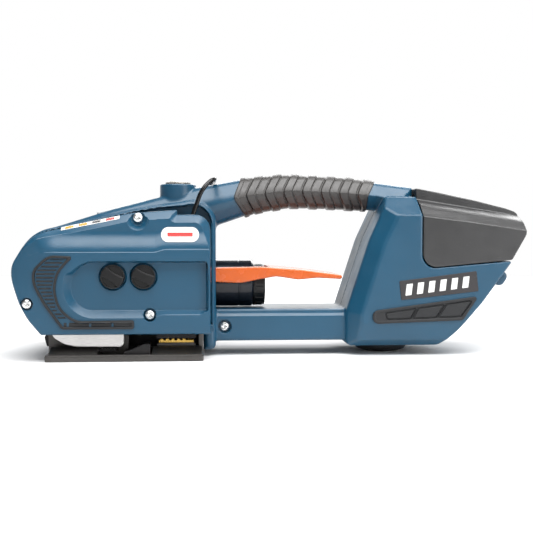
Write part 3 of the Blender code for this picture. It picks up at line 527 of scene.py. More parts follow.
def metal(name, colour, roughness, brush=(1, 1, 1), size=0.4, depth=0.01, metallic=1.0):
    """Worked metal: fine marks, drawn out along the direction with the smallest scale."""
    s = Shading(name)
    lines = s.noise(size, 3, s.stretched(brush))
    shade_of = s.mixed(s.spread(lines, 0.3, 0.7, 0, 1), scaled(colour, 0.86), scaled(colour, 1.1))
    stain = s.spread(s.noise(12, 4), 0.45, 0.7, 0, 0.35)
    shade_of = s.mixed(stain, shade_of, scaled(colour, 0.8))
    sheen = s.spread(lines, 0.3, 0.7, roughness - 0.07, roughness + 0.07)
    return s.finish(shade_of, sheen, s.bumped(lines, depth), metallic)


def make_materials():
    return {
        "body": moulded("body_plastic", srgb(17, 69, 95), 0.35, 0.45, 0.02, 0.55, 0.0, 0.3),
        "trim": moulded("black_plastic", srgb(13, 13, 14), 0.38, 0.4, 0.02, 0.35, 0.0, 0.2),
        "grip": moulded("grip_rubber", srgb(40, 37, 35), 0.46, 0.55, 0.05, 0.75),
        "pad": moulded("pad_rubber", srgb(38, 39, 41), 0.55, 0.5, 0.03, 0.35),
        "battery": moulded("battery_plastic", srgb(34, 34, 35), 0.36, 0.5, 0.035, 0.75),
        "lever": moulded("lever_plastic", srgb(198, 86, 14), 0.26, 0.8, 0.006, 0.5, 0.4, 0.15),
        "button": moulded("button_plastic", srgb(196, 193, 186), 0.25, 0.7, 0.004, 0.5, 0.5, 0.1),
        "label": moulded("label_film", srgb(228, 228, 226), 0.4, 1.2, 0.004, 0.4, 0.0, 0.1),
        "plate": moulded("plate_film", srgb(46, 44, 46), 0.35, 0.9, 0.006),
        "cast": metal("blackened_steel", srgb(38, 37, 38), 0.45, (1, 1, 1), 0.5, 0.02, 0.55),
        "base": metal("machined_base", srgb(84, 82, 80), 0.38, (0.12, 1, 1), 0.35, 0.015, 0.7),
        "steel": metal("polished_steel", srgb(205, 205, 204), 0.24, (0.1, 1, 1), 0.3, 0.006),
        "guard": metal("brushed_guard", srgb(218, 216, 214), 0.38, (0.06, 1, 1), 0.25, 0.006, 0.75),
        "screw": metal("zinc_screw", srgb(222, 223, 222), 0.3, (1, 1, 1), 0.5, 0.01),
        "satin": metal("satin_steel", srgb(132, 128, 122), 0.36, (1, 1, 1), 0.4, 0.006, 0.8),
        "brass": metal("gold_plate", srgb(255, 206, 96), 0.34, (0.2, 1, 1), 0.3, 0.008, 0.3),
        "motor": metal("motor_can", srgb(22, 26, 34), 0.2, (1, 0.1, 0.1), 0.4, 0.004, 0.2),
        "wire": metal("coated_wire", srgb(12, 12, 13), 0.24, (1, 1, 0.2), 0.5, 0.01, 0.2),
        "board": moulded("solder_mask", srgb(20, 92, 56), 0.3, 1.5, 0.02),
        "cells": moulded("cell_sleeve", srgb(60, 130, 150), 0.3, 3.0, 0.01),
        "amber": moulded("amber_print", srgb(206, 150, 30), 0.4, 1.2, 0.004, 0.4, 0.0, 0.1),
        "red": moulded("red_print", srgb(176, 34, 30), 0.4, 1.2, 0.004, 0.4, 0.0, 0.1),
    }


# The moulded body

HEAD_EDGE = Outline(HEAD)
COVER_EDGE = Outline(COVER)
RECESS_EDGE = Outline(RECESS_INNER)
SPINE_EDGE = Outline(SPINE)
REAR_EDGE = Outline(REAR)
FRONT_EDGE = Outline(REAR_FRONT)
REAR_ACROSS = Outline(REAR_SECTION)
BEAM_ACROSS = Outline(BEAM_SECTION)
GRIP_EDGE = Outline(GRIP_ENDS)
LEVER_EDGE = Outline(LEVER, 1.3)
PAD_EDGE = Outline(PAD, 2.5)
REAR_PAD_EDGE = Outline(REAR_PAD)
GUARD_EDGE = Outline(GUARD)
RIDGE_EDGE = Outline(RIDGE)
BATTERY_EDGE = Outline(BATTERY_SIDE)
CELL_EDGES = [Outline(cell) for cell in REAR_PAD_CELLS]


def spine_field(x, side, z):
    """The handle and its roots: a bar whose sides come to a soft edge at half its height."""
    edge = SPINE_EDGE(x, z)
    slant = (side + 0.72 * edge - 9.0) / 1.23
    return both(both(edge, slant, 3.5), side - 17.6, 2)


def head_field(x, side, z):
    """The head's block, with a rim round each side and a groove inside it that the covers sit in."""
    edge = HEAD_EDGE(x, z)
    rim = 1.9 + (HEAD_RIM - 1.9) * ease(x, -80, -66)
    groove = np.maximum(np.maximum(edge + rim, -COVER_EDGE(x, z) - 2), np.maximum(27 - side, 23 - z))
    return without(bevelled(edge, side - HEAD_HALF, 2.4, 0.8), groove, 0.5)


def rear_field(x, side, z):
    """The rear housing: a tapered block whose front corners are cut away."""
    body = both(REAR_EDGE(x, z), REAR_ACROSS(side, z), 1.2)
    corner = (side - REAR_HALF + 10 + FRONT_EDGE(x, z)) * math.sqrt(0.5)
    return both(body, corner, 1.5)


def beam_field(x, side, z):
    return both(BEAM_ACROSS(side, z), np.abs(x - 8) - 54, 0.5)


def body_field(x, y, z):
    side = np.abs(y)
    head = head_field(x, side, z)
    boss = both(rod(x, side, (BUTTON_X, 0), 13.5), np.maximum(z - 125.6, 100 - z), 1.2)
    upper = either(either(head, spine_field(x, side, z), 1.5), boss, 1.2)
    lower = either(beam_field(x, side, z), rear_field(x, side, z), 1.5)
    outside = either(upper, lower, 1.2)
    hollow = np.maximum(outside, -(outside + WALL))
    post = both(rod(x, z, BEAM_SCREW, 6.5), side - 29.2)
    hollow = either(hollow, post)
    cuts = [
        block(x, y, z, (-161.5, -31.2, -5), (-51, 31.2, 22.5), 1),
        block(x, y, z, (-51, -28.8, 33.6), (-36, 28.8, 74.5), 2),
        block(x, y, z, (103, -29, 72.5), (113, 29, 102), 1),
        both(rod(x, y, (BUTTON_X, 0), 8), 100 - z),
        rod(x, z, LEVER_PIVOT, 2.8),
        rod(x, z, BAIL_PIVOT, 2.2),
        both(latch_edge(x, z, 1), side - 31),
        block(x, y, z, (-163, -40, 15), (-104, -25, 60), 1),
        block(x, y, z, (-99, -40, 4), (-52, -25, 26), 1),
        both(rod(x, z, BEAM_SCREW, 2), y - 14),
        both(rod(x, z, BEAM_SCREW, 4.7), y + 26.4),
    ]
    for place in COVER_SCREWS.values():
        cuts.append(both(rod(x, z, place, 2.1), 10 - side))
    for cut in cuts:
        hollow = np.maximum(hollow, -cut)
    return hollow


def latch_edge(x, z, extra=0.0):
    """The latch's outline on the rear housing's sloping back."""
    along = unit(np.array([REAR[7][0] - REAR[8][0], REAR[7][1] - REAR[8][1]], float))
    out = np.array([along[1], -along[0]])
    middle = np.array(REAR[7][:2]) + (np.array(REAR[8][:2]) - np.array(REAR[7][:2])) * 0.36
    run = (x - middle[0]) * along[0] + (z - middle[1]) * along[1]
    rise = (x - middle[0]) * out[0] + (z - middle[1]) * out[1]
    return both(np.abs(run) - 5.6 - extra, np.abs(rise - 1.6) - 6.6 - 2 * extra, 4.3)


def make_body():
    def near(x, y, z):
        return both(body_field(x, y, z), y + SEAM, 0.5)

    def far(x, y, z):
        return both(body_field(x, y, z), SEAM - y, 0.5)

    low = (-190, -44, 3)
    high = (176, 0.2, 133)
    placed(meshed(near, low, high, 1.0), "near_body", "body", "root", ["near_body_shell"])
    low = (low[0], -high[1], low[2])
    high = (high[0], 44, high[2])
    placed(meshed(far, low, high, 1.1), "far_body", "body", "root", ["far_body_shell"])


# The side covers

def cover_face(x, z, recessed):
    """How far the cover's face stands out from the tool's middle plane."""
    ridge = np.interp(x, (-84, -77), (75.5, 77.4))
    fall = (UPPER_DROP * ease(z - ridge, 0.6, 15) + 0.5 * ease(z - ridge, 0, 0.7)) * ease(x, -168, -150)
    nose = 7 * np.clip((-158 - x) / 29, 0, 1) ** 2
    face = COVER_FACE - fall - nose
    depth = -COVER_EDGE(x, z)
    width = 0.9 + 4.8 * ease(z, 76, 95)
    face = face - np.maximum(0, width - depth)
    scoop = rod(x, z, (COVER_SCREWS["top"][0], COVER_SCREWS["top"][1] - 1), 4.8)
    face = np.minimum(face, 52.6 + np.maximum(0, scoop) * 1.25)
    if recessed:
        steep = 1 + 3 * ease(z, 60, 68) + 0.7 * ease(x, -85, -77) + 2.2 * ease(x, -53, -48)
        face = np.minimum(face, RECESS_FLOOR + steep * np.maximum(0, RECESS_EDGE(x, z)))
    return face


def cover_field(x, y, z, recessed=True):
    edge = COVER_EDGE(x, z)
    face = cover_face(x, z, recessed)
    front = -y - face
    outside = both(both(edge, front, 0.7), y + COVER_BACK)
    inside = np.maximum(edge + 2.2, front + 2.2)
    cuts = [
        block(x, y, z, (-158.5, -59.2, 10), (-49, -20, 25)),
        block(x, y, z, (-67, -43, 92), (-40, -20, 115)),
    ]
    for name, place in COVER_SCREWS.items():
        inside = np.maximum(inside, 5.2 - np.hypot(x - place[0], z - place[1]))
        cuts.append(rod(x, z, place, 2))
        seat = {"top": 50.6, "lower": 55.2, "nose": 57.0}[name]
        cuts.append(both(rod(x, z, place, 4.4), y + seat))
    if recessed:
        for centre_x, centre_z, _ in KNOBS.values():
            cuts.append(both(rod(x, z, (centre_x, centre_z), 9.3), y + RECESS_FLOOR - 1.2))
            cuts.append(rod(x, z, (centre_x, centre_z), 3.4))
            inside = np.maximum(inside, -both(rod(x, z, (centre_x, centre_z), 11), y + 53.6))
    shell = np.maximum(outside, -inside)
    for cut in cuts:
        shell = without(shell, cut, 0.35)
    return shell


def make_covers():
    low = (-190, -62.6, 18)
    high = (-45, -34, 106)
    mesh = meshed(cover_field, low, high, 0.68)
    placed(mesh, "side_cover_moulding", "body", "root", ["side_cover"])

    def plain(x, y, z):
        return cover_field(x, y, z, False)

    mesh = mirrored(meshed(plain, low, high, 0.95))
    placed(mesh, "far_cover_moulding", "body", "root", ["far_cover"])


# Rubber pieces

def pad_field(x, y, z):
    """The crescent pad on a cover's front corner: a rim round a ribbed hollow."""
    edge = PAD_EDGE(x, z)
    face = cover_face(x, z, False)
    sunk = 1.7 * ease(-edge, 1.5, 2.0)
    upper = ease(z, 30, 31)
    ribs = ease(np.cos(2 * np.pi * (z - 33.4) / 2.52), -0.3, 0.45) * upper * ease(-edge, 2.2, 2.8)
    cells = ease(np.abs((x + 120.8) % 15.3 - 7.65), 0.5, 1.0) * ease(2 - np.abs(z - 26.1), 0.4, 0.9)
    cells = cells * (1 - upper) * ease(-x, 99.5, 100.5) * ease(x, -147, -146) * 0.75
    top = face + 1.25 - sunk + 1.3 * ribs + 1.3 * cells
    return both(both(edge, -y - top, 0.3), y + face - 1.2)


def rear_pad_field(x, y, z):
    edge = REAR_PAD_EDGE(x, z)
    inner = np.minimum.reduce([cell(x, z) for cell in CELL_EDGES])
    groove = ease(-np.abs(inner + 0.1), -0.75, -0.3)
    rim = ease(-edge, 1.6, 2.2)
    top = REAR_HALF + 1.5 - 0.8 * np.maximum(groove, 0) - 0.25 * rim * (inner > 0)
    return both(both(edge, -y - top, 0.4), y + REAR_HALF - 0.4)


def grip_field(x, y, z):
    """The handle's sleeve, with raised bands that run round it as chevrons."""
    side = np.abs(y)
    middle = np.interp(x, (-30, 0, 30, 70), (115.5, 119, 120.5, 117.5))
    bend = np.sqrt((z - middle) ** 2 + 9) - 3
    phase = ((x + 33 - 0.62 * bend) / 13.9) % 1
    band = ease(phase, 0.02, 0.1) - ease(phase, 0.46, 0.54)
    line = np.exp(-(((phase + 0.5) % 1 - 0.5) / 0.045) ** 2)
    second = np.exp(-((phase - 0.53) / 0.04) ** 2)
    core = spine_field(x, side, z)
    skin = core - 0.85 - 0.75 * band + 0.6 * line + 0.35 * second
    ends = GRIP_EDGE(x, z)
    rim = 1 - ease(-ends, 2.6, 3.2)
    skin = np.maximum(skin * (1 - rim) + (core - 1.5) * rim, core - 1.6)
    return without(both(skin, ends, 0.7), core + 1.2)


def make_rubber():
    mesh = meshed(pad_field, (-169, -63.6, 22), (-98, -54, 74.5), 0.4)
    placed(mirrored(mesh), "front_pad_far_side", "pad", "root", ["front_pad_far"])
    placed(mesh, "front_pad_near_side", "pad", "root", ["front_pad_near"])
    mesh = meshed(rear_pad_field, (71, -44.8, 23), (150, -42.5, 44), 0.4)
    placed(mirrored(mesh), "rear_pad_far_side", "pad", "root", ["rear_pad_far"])
    placed(mesh, "rear_pad_near_side", "pad", "root", ["rear_pad_near"])
    mesh = meshed(grip_field, (-30.1, -19.9, 100.2), (88, 20, 135), 0.55)
    placed(mesh, "grip_sleeve", "grip", "root", ["handle_grip"])
    low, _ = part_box("rear_foot")
    profile = [(0, 6.2), (19.4, 6.2), (20, 5.2, 0.5), (20, 4.4, 0.8), (18.4, 1.7, 2), (13.5, 0, 3),
               (6, 0, 0.6), (5.4, 1, 0.4), (0, 1)]
    centre = Matrix.Translation((low.x + 20 * MM, 0, 0))
    placed(turned(profile, centre, 96), "rear_foot_pad", "pad", "root", ["rear_foot"])


# Metal pieces

def screw_mesh(shank):
    """A pan head screw that points along +Y from the origin, with a cross drive."""
    def field(x, y, z):
        far = np.hypot(x, z)
        dome = np.sqrt(far ** 2 + (y - 6.4) ** 2) - 6.4
        head = both(both(far - 3.3, y - 2.4, 0.2), dome, 0.5)
        body = both(far - 1.6 - 0.15 * np.cos(2 * np.pi * y / 0.8), np.abs(y - shank / 2) - shank / 2, 0.3)
        screw = either(head, body, 0.2)
        taper = y - 1.5 + 0.35 * far
        slots = np.minimum(both(np.abs(x) - 0.45, np.abs(z) - 2), both(np.abs(z) - 0.45, np.abs(x) - 2))
        return without(screw, both(slots, taper), 0.12)

    return meshed(field, (-3.6, -0.1, -3.6), (3.6, shank + 0.2, 3.6), 0.24)


def make_screws():
    cover = screw_mesh(24)
    turn = Matrix.Rotation(math.radians(20), 4, "Y")
    for name, (x, z) in COVER_SCREWS.items():
        front = {"top": -55.4, "lower": -60.2, "nose": -60.6}[name]
        mesh = cover.copy()
        mesh.transform(Matrix.Translation(Vector((x, front, z)) * MM) @ turn)
        far = mirrored(mesh)
        placed(mesh, name + "_screw", "screw", "root", ["cover_screw_" + name])
        placed(far, name + "_screw_far", "screw", "root", ["far_cover_screw_" + name])
    beam = screw_mesh(40)
    beam.transform(Matrix.Translation(Vector((BEAM_SCREW[0], -29.0, BEAM_SCREW[1])) * MM))
    placed(beam, "handle_screw", "screw", "root", ["beam_screw"])


def base_field(x, y, z):
    """The base casting: a thin front edge, a slope up to the strap's path with a pocket for the ramp, a raised
    pad with an end wall, and a skirt ahead of them."""
    plate = block(x, y, z, (-160, -61, 0), (-50.6, 33, 5), 0.9)
    wedge = block(x, y, z, (-158.2, -60.4, 1), (-51.5, -45, 9.3), 0.5)
    wedge = both(wedge, (z - 4.4 - 0.32 * (y + 60)) * 0.95, 0.4)
    pocket = block(x, y, z, (-124.5, -59, 2), (-86.8, -20, 22), 2.5)
    raised = block(x, y, z, (-84, -42, 1), (-56, -20, 10.9), 0.8)
    slot = both(np.abs(y + 61) - 0.5, np.abs(z - 3.6) - 0.25)
    end = block(x, y, z, (-54, -44, 1), (-50.6, -20, 19.3), 0.4)
    raised = either(raised, end, 0.5)
    skirt = block(x, y, z, (-165, -33.5, 1), (-104, -28.5, 19.5), 0.6)
    skirt = both(skirt, -161.3 - x - 0.6 * np.maximum(0, z - 15), 0.4)
    shape = without(either(plate, wedge, 0.5), pocket, 0.6)
    return either(either(np.maximum(shape, -slot), raised, 0.8), skirt, 0.5)


def make_base():
    mesh = meshed(base_field, (-166, -62, -0.5), (-50, 34, 20), 0.8)
    placed(mesh, "base_casting", "base", "root", ["base_plate"])

    def guard(x, y, z):
        return both(GUARD_EDGE(x, z), np.abs(y + 50.65) - 1.65, 0.5)

    mesh = meshed(guard, (-158, -53, 9), (-106, -48.5, 47), 0.6)
    placed(mesh, "wheel_cover_plate", "guard", "rocker", ["wheel_guard"])

    def comb(x, y, z):
        teeth = ease(np.cos(2 * np.pi * (x + 80.2) / 3.95), -0.4, 0.3) * ease(-x, 61.0, 61.8)
        return both(block(x, y, z, (-82.5, -40, 10.6), (-57.3, -22, 20), 0.3), z - 12.5 - 1.1 * teeth, 0.2)

    mesh = meshed(comb, (-83, -40.5, 10.4), (-57, -21.5, 14), 0.3)
    placed(mesh, "weld_comb", "brass", "root", ["lower_weld_plate"])

    edge = Outline([(-106, 2.3, 0.5), (-87.7, 2.3, 0.5), (-87.7, 11.9, 1), (-92, 11.9, 4), (-102, 7.6, 4),
                    (-106, 6.3, 0.5)])

    def ramp(x, y, z):
        return both(edge(x, z), np.abs(y + 49.5) - 7.5, 0.5)

    mesh = meshed(ramp, (-107, -57.5, 2), (-87, -41.5, 12.5), 0.45)
    placed(mesh, "strap_guide", "cast", "root", ["strap_ramp"])


def make_motor():
    along = Matrix.Translation((0, 0, MOTOR_Z * MM)) @ Matrix.Rotation(math.pi / 2, 4, "Y")
    can = [(4, -61, 0.3), (17.2, -61, 1.2), (17.8, -59.6, 0.8), (17.8, -24.5), (17.5, -24.2), (17.5, -23.4),
           (17.8, -23.1), (17.8, -14.6, 0.8), (16.9, -13.4, 0.5), (16.6, -13.4, 0.2), (16.6, -59.6, 0.5),
           (4, -59.6, 0.3)]
    placed(turned(can, along, 96), "motor_housing", "motor", "root", ["motor_can"])

    def cap(x, y, z):
        height = z - MOTOR_Z + 1.6
        far = np.hypot(y, height)
        angle = np.arctan2(height, y)
        rib = 0.45 * ease(np.cos(18 * angle), 0.2, 0.8) * ease(x, -12.4, -11.8) * (1 - ease(x, -6.4, -5.8))
        body = both(far - 15.1 - rib, np.abs(x + 8.7) - 4.4, 1.0)
        collar = both(far - 15.6, np.abs(x + 12.2) - 0.9, 0.3)
        hub = both(far - 4.2, np.abs(x + 4.9) - 0.9, 0.5)
        dish = both(far - 12.6, -4.9 - x, 0.3)
        return either(without(either(body, collar, 0.3), dish, 0.3), hub, 0.3)

    mesh = meshed(cap, (-13.4, -16, MOTOR_Z - 17.6), (-3.9, 16, MOTOR_Z + 14.6), 0.45)
    placed(mesh, "motor_cap", "trim", "root", ["motor_end_cap"])


def smooth_wire(name, points, radius, material, body, stands_for):
    curve = bpy.data.curves.new(name, "CURVE")
    curve.dimensions = "3D"
    curve.bevel_depth = radius * MM
    curve.bevel_resolution = 5
    curve.use_fill_caps = True
    curve.resolution_u = 8
    spline = curve.splines.new("NURBS")
    spline.points.add(len(points) - 1)
    spline.use_endpoint_u = True
    spline.order_u = 3
    for point, place in zip(spline.points, points):
        point.co = (*(Vector(place) * MM), 1)
    obj = bpy.data.objects.new(name, curve)
    bpy.context.scene.collection.objects.link(obj)
    mesh = bpy.data.meshes.new_from_object(obj.evaluated_get(bpy.context.evaluated_depsgraph_get()))
    bpy.data.objects.remove(obj)
    bpy.data.curves.remove(curve)
    shape = bmesh.new()
    shape.from_mesh(mesh)
    bmesh.ops.remove_doubles(shape, verts=shape.verts, dist=1e-6)
    shape.to_mesh(mesh)
    shape.free()
    mesh.shade_smooth()
    mesh.set_sharp_from_angle(angle=math.radians(50))
    return placed(mesh, name, material, body, stands_for)


def make_bail():
    x, z = BAIL_PIVOT
    near = [(x, -32, z), (x, -36.6, z), (x + 0.2, -37.5, z + 1), (-57.6, -37.5, 103.5), (-54.9, -37.5, 110.7),
            (-52.8, -37.5, 117), (-49.5, -36.8, 122.4), (-45.5, -34.5, 126.3), (-42.6, -30.5, 128.4),
            (-42, -26, 128.8)]
    far = [(point[0], -point[1], point[2]) for point in reversed(near)]
    smooth_wire("hanging_bail", near + far, 1.6, "wire", "bail", ["bail"])


# Controls

def lever_field(x, y, z):
    side = np.abs(y)
    bar = both(LEVER_EDGE(x, z), side - 28, 1.2)
    fork = both(x + 1.5, side - 22, 3)
    return np.maximum(np.maximum(bar, -fork), -rod(x, z, LEVER_PIVOT, 2.8))


def knob_mesh(centre_x, centre_z, degrees):
    """A round knob with a raised grip bar across it."""
    lean = math.radians(degrees)

    def field(x, y, z):
        u = (x - centre_x) * math.cos(lean) - (z - centre_z) * math.sin(lean)
        v = (x - centre_x) * math.sin(lean) + (z - centre_z) * math.cos(lean)
        far = np.hypot(u, v)
        disc = both(far - 8.5, np.abs(y + 58.6) - 1.3, 0.7)
        cup = both(far - 7.2, y + 59.3, 0.4)
        waist = np.abs(v) - 2.9 - 0.018 * u ** 2
        bar = both(both(waist, far - 8.1, 0.6), np.abs(y + 60.0) - 1.8, 0.8)
        shaft = both(far - 3, np.abs(y + 53.8) - 4.8)
        return either(either(without(disc, cup, 0.3), bar, 0.4), shaft)

    low = (centre_x - 9, -62.3, centre_z - 9)
    high = (centre_x + 9, -48.6, centre_z + 9)
    return meshed(field, low, high, 0.3)


def make_controls():
    mesh = meshed(lever_field, (-70.07, -28.83, 50.11), (53, 29, 66), 0.53)
    placed(mesh, "squeeze_lever", "lever", "lever", ["lever"])
    for name, (x, z, degrees) in KNOBS.items():
        placed(knob_mesh(x, z, degrees), name + "_dial", "trim", name, [name])
    up = Matrix.Translation((BUTTON_X * MM, 0, 0))
    ring = [(7.9, 125.9), (9.4, 125.9, 0.1), (9.4, 127, 0.5), (7.9, 127.3, 0.4)]
    placed(turned(ring, up, 64), "button_bezel", "satin", "root", ["button_ring"])
    dome = [(0, 129.1), (3.5, 129.0, 4), (6.3, 127.9, 2), (7.4, 125.6, 1.5), (7.4, 120, 0.4), (3, 120, 0.5),
            (3, 111, 0.5), (0, 111)]
    placed(turned(dome, up, 64), "button_dome", "button", "button", ["start_button"])

    def latch(x, y, z):
        return both(latch_edge(x, z), np.abs(y) - 30, 2)

    mesh = meshed(latch, (152, -31, 45), (178, 31, 69), 0.6)
    placed(mesh, "battery_release", "body", "latch", ["battery_latch"])


# Battery

def battery_outside(x, y, z):
    side = np.abs(y)
    crease = np.interp(x, CREASE_X, CREASE_Z)
    shoulder = np.interp(x, SHOULDER_X, SHOULDER_Z)
    inward = np.clip((REAR_HALF - side) / 21, 0, 1)
    roof = crease + (shoulder - crease) * inward + 1.3 * np.sin(np.pi * inward) ** 2
    edge = BATTERY_EDGE(x, z)
    main = both(both(edge, side - REAR_HALF, 0.8), (z - roof) * 0.85, 0.35)
    ridge = both(both(RIDGE_EDGE(x, z), side - 17.5 - 0.12 * (115 - z), 0.8), 64 - z)
    tail = both(edge, side - REAR_HALF, 0.8)
    return either(main, both(ridge, tail, 0.5), 0.8)


def battery_field(x, y, z):
    outside = battery_outside(x, y, z)
    tongue = block(x, y, z, (86, -28, 74.5), (112, 28, 97), 1)
    shell = np.maximum(either(outside, tongue, 0.3), -(either(outside, tongue) + WALL))
    shell = np.maximum(shell, -block(x, y, z, (100, -6, 82), (112, 6, 90)))
    for centre in (-16, -5, 5, 16):
        shell = np.maximum(shell, -block(x, y, z, (80, centre - 1, 79), (93, centre + 1, 92)))
    return shell


def make_battery():
    mesh = meshed(battery_field, (86, -44, 63), (187, 44, 124), 0.8)
    placed(mesh, "battery_shell", "battery", "battery", ["battery_case"])


# The display and the labels, with plain marks

def slanted(corners, face, thick, name, material, step=0.22):
    """A thin plate on the near side, from its outline and the height of the face under it."""
    edge = Outline(corners)

    def field(x, y, z):
        under = face(x, z)
        return both(both(edge(x, z), -y - under - thick, 0.08), y + under - 0.15)

    points = np.array([corner[:2] for corner in corners])
    low = points.min(0)
    high = points.max(0)
    deepest = max(face(x, z) for x, z in points) + thick + 0.3
    nearest = min(face(x, z) for x, z in points) - 2.5
    mesh = meshed(field, (low[0], -deepest, low[1]), (high[0], -nearest, high[1]), step)
    return placed(mesh, name, material, "root")


def make_display():
    """The status display, let into the slope of the handle's front end."""
    lean = math.atan2(123.1 - 106.8, -55 + 118)

    def field(x, y, z):
        u = (x + 111.6) * math.cos(lean) + (z - 108.4) * math.sin(lean)
        v = (z - 108.4) * math.cos(lean) - (x + 111.6) * math.sin(lean)
        plate = both(both(np.abs(u) - 18.5, np.abs(y) - 6.4, 2.5), np.abs(v - 0.1) - 0.75, 0.3)
        window = both(both(np.abs(u) - 16.3, np.abs(y) - 4.4, 1.2), 0.6 - v)
        return without(plate, window, 0.15)

    mesh = meshed(field, (-130.5, -7, 102.8), (-92.5, 7, 114.4), 0.4)
    placed(mesh, "status_display", "label", "root", ["display_panel"])


def make_labels():
    def upper(x, z):
        return cover_face(x, z, True)

    def flat(x, z):
        return REAR_HALF + 0 * x

    pill = [(-79.8, 82.9, 5.15), (-79.8, 93.3, 5.15), (-53.6, 93.3, 5.15), (-53.6, 82.9, 5.15)]
    slanted(pill, upper, 0.35, "pill_label", "label")
    strip = [(-149.5, 90.8), (-149.0, 93.2), (-108.8, 101.4), (-108.8, 99.0)]
    slanted(strip, upper, 0.3, "strip_label", "label")
    bar = [(-75.5, 86.7, 0.4), (-75.5, 89.5, 0.4), (-57.9, 89.5, 0.4), (-57.9, 86.7, 0.4)]
    slanted(bar, lambda x, z: upper(x, z) + 0.3, 0.2, "pill_bar", "red")
    for i, material in enumerate(("amber", "amber", "plate", "red")):
        left = 9.4 * i
        corners = ((left, -0.1), (left, 1.5), (left + 5.8, 1.5), (left + 5.8, -0.1))
        mark = [(-146.5 + a, 91.9 + 0.2037 * a + b) for a, b in corners]
        slanted(mark, lambda x, z: upper(x, z) + 0.25, 0.2, f"strip_mark_{i + 1}", material)
    plate = [(90.9, 54.4, 0.6), (147.6, 61.5, 0.6), (149.2, 46.9, 0.6), (92.4, 40.6, 0.6)]
    slanted(plate, flat, 0.5, "side_plate", "plate", step=0.4)
    across = unit(np.array([147.6 - 90.9, 61.5 - 54.4]))
    down = np.array([across[1], -across[0]])
    start = np.array([94.2, 51.9])
    for i in range(6):
        corner = start + across * (2 + 8.4 * i)
        stripe = [corner, corner + across * 4.6, corner + across * 2.6 + down * 8.2,
                  corner - across * 2 + down * 8.2]
        slanted([tuple(point) for point in stripe], lambda x, z: REAR_HALF + 0.45 + 0 * x, 0.12,
                f"plate_stripe_{i + 1}", "label")


# Everything that keeps its CAD shape

def finish_nodes():
    groups = {
        "cast": ["main_frame", "rocker_arm", "tension_foot", "weld_gripper", "cutter_blade"],
        "steel": ["tension_wheel", "wheel_shaft", "cross_shaft", "crown_gear", "crown_pinion",
                  "planet_carrier", "planet_gear_1", "planet_gear_2", "planet_gear_3", "sun_gear",
                  "ring_gear", "motor_rotor", "eccentric_shaft", "rocker_spring", "lever_pin_near", "lever_pin_far"],
        "pad": ["tension_belt", "weld_belt", "wiring_loom"],
        "cells": ["battery_cells"],
        "board": ["control_board"],
        "trim": ["terminal_block"],
    }
    for name, nodes in groups.items():
        for node in nodes:
            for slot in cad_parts[node].material_slots:
                slot.material = MATERIALS[name]


# Floor, light and camera

def make_stage():
    shape = bmesh.new()
    bmesh.ops.create_circle(shape, cap_ends=True, segments=96, radius=1.3)
    mesh = bpy.data.meshes.new("floor")
    shape.to_mesh(mesh)
    shape.free()
    floor = bpy.data.objects.new("floor", mesh)
    bpy.context.scene.collection.objects.link(floor)
    s = Shading("pale_floor")
    tone = s.mixed(s.spread(s.noise(400, 2), 0.3, 0.7, 0, 1), (0.76, 0.76, 0.76, 1), (0.8, 0.8, 0.8, 1))
    mesh.materials.append(s.finish(tone, 0.7, s.bumped(s.noise(3, 2), 0.02), 0.0, 0.2))

    softbox("overhead", (0.1, -0.5, 1.45), (0, 0, 0.06), 1.9, 1.4, 58)
    softbox("front_right", (1.4, -1.5, 0.5), (0, 0, 0.07), 0.8, 0.8, 15)
    softbox("behind", (0.4, 1.5, 1.0), (0, 0, 0.07), 1.4, 0.8, 22)


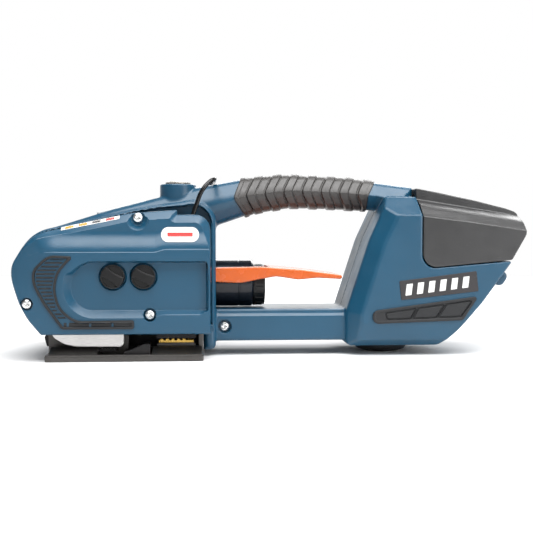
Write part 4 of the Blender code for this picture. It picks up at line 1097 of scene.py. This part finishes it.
def make_world():
    """A white room that is dimmer towards its ceiling, its near wall and its left wall."""
    world = bpy.data.worlds.new("studio")
    bpy.context.scene.world = world
    world.use_nodes = True
    tree = world.node_tree
    direction = tree.nodes.new("ShaderNodeTexCoord").outputs["Generated"]
    parts = tree.nodes.new("ShaderNodeSeparateXYZ")
    tree.links.new(direction, parts.inputs["Vector"])
    strength = None
    fades = {"Z": (0.26, 0.55, 1, 0.2), "Y": (-0.4, 0.1, 0.38, 1), "X": (-0.9, -0.4, 0.3, 1)}
    for axis, numbers in fades.items():
        fade = tree.nodes.new("ShaderNodeMapRange")
        fade.interpolation_type = "SMOOTHSTEP"
        for name, number in zip(("From Min", "From Max", "To Min", "To Max"), numbers):
            fade.inputs[name].default_value = number
        tree.links.new(parts.outputs[axis], fade.inputs["Value"])
        product = tree.nodes.new("ShaderNodeMath")
        product.operation = "MULTIPLY"
        tree.links.new(fade.outputs["Result"], product.inputs[0])
        if strength:
            tree.links.new(strength, product.inputs[1])
        else:
            product.inputs[1].default_value = 1
        strength = product.outputs[0]
    sky = tree.nodes["Background"]
    sky.inputs["Color"].default_value = (1, 1, 1, 1)
    tree.links.new(strength, sky.inputs["Strength"])


def softbox(name, place, aim, width, height, power):
    light = bpy.data.lights.new(name, "AREA")
    light.shape = "RECTANGLE"
    light.size = width
    light.size_y = height
    light.energy = power
    obj = bpy.data.objects.new(name, light)
    bpy.context.scene.collection.objects.link(obj)
    obj.location = place
    obj.rotation_euler = (Vector(aim) - Vector(place)).to_track_quat("-Z", "Y").to_euler()


def make_camera():
    azimuth = math.radians(-4)
    elevation = math.radians(2)
    middle = (CAD_BOX[0] + CAD_BOX[1]) / 2
    target = Vector((middle.x + CAMERA_AIM[0] * MM, 0, middle.z + CAMERA_AIM[1] * MM))
    back = Vector((math.sin(azimuth) * math.cos(elevation), -math.cos(azimuth) * math.cos(elevation),
                   math.sin(elevation)))
    data = bpy.data.cameras.new("camera")
    data.lens = CAMERA_LENS
    data.sensor_width = 36
    data.clip_start = 0.05
    data.clip_end = 60
    camera = bpy.data.objects.new("camera", data)
    bpy.context.scene.collection.objects.link(camera)
    camera.location = target + back * CAMERA_DISTANCE * MM
    camera.rotation_euler = (-back).to_track_quat("-Z", "Y").to_euler()
    bpy.context.scene.camera = camera
    bpy.context.scene.view_settings.view_transform = "Standard"


MATERIALS = make_materials()
make_camera()
make_body()
make_covers()
make_rubber()
make_screws()
make_base()
make_motor()
make_bail()
make_controls()
make_battery()
make_display()
make_labels()
finish_nodes()
make_stage()
make_world()
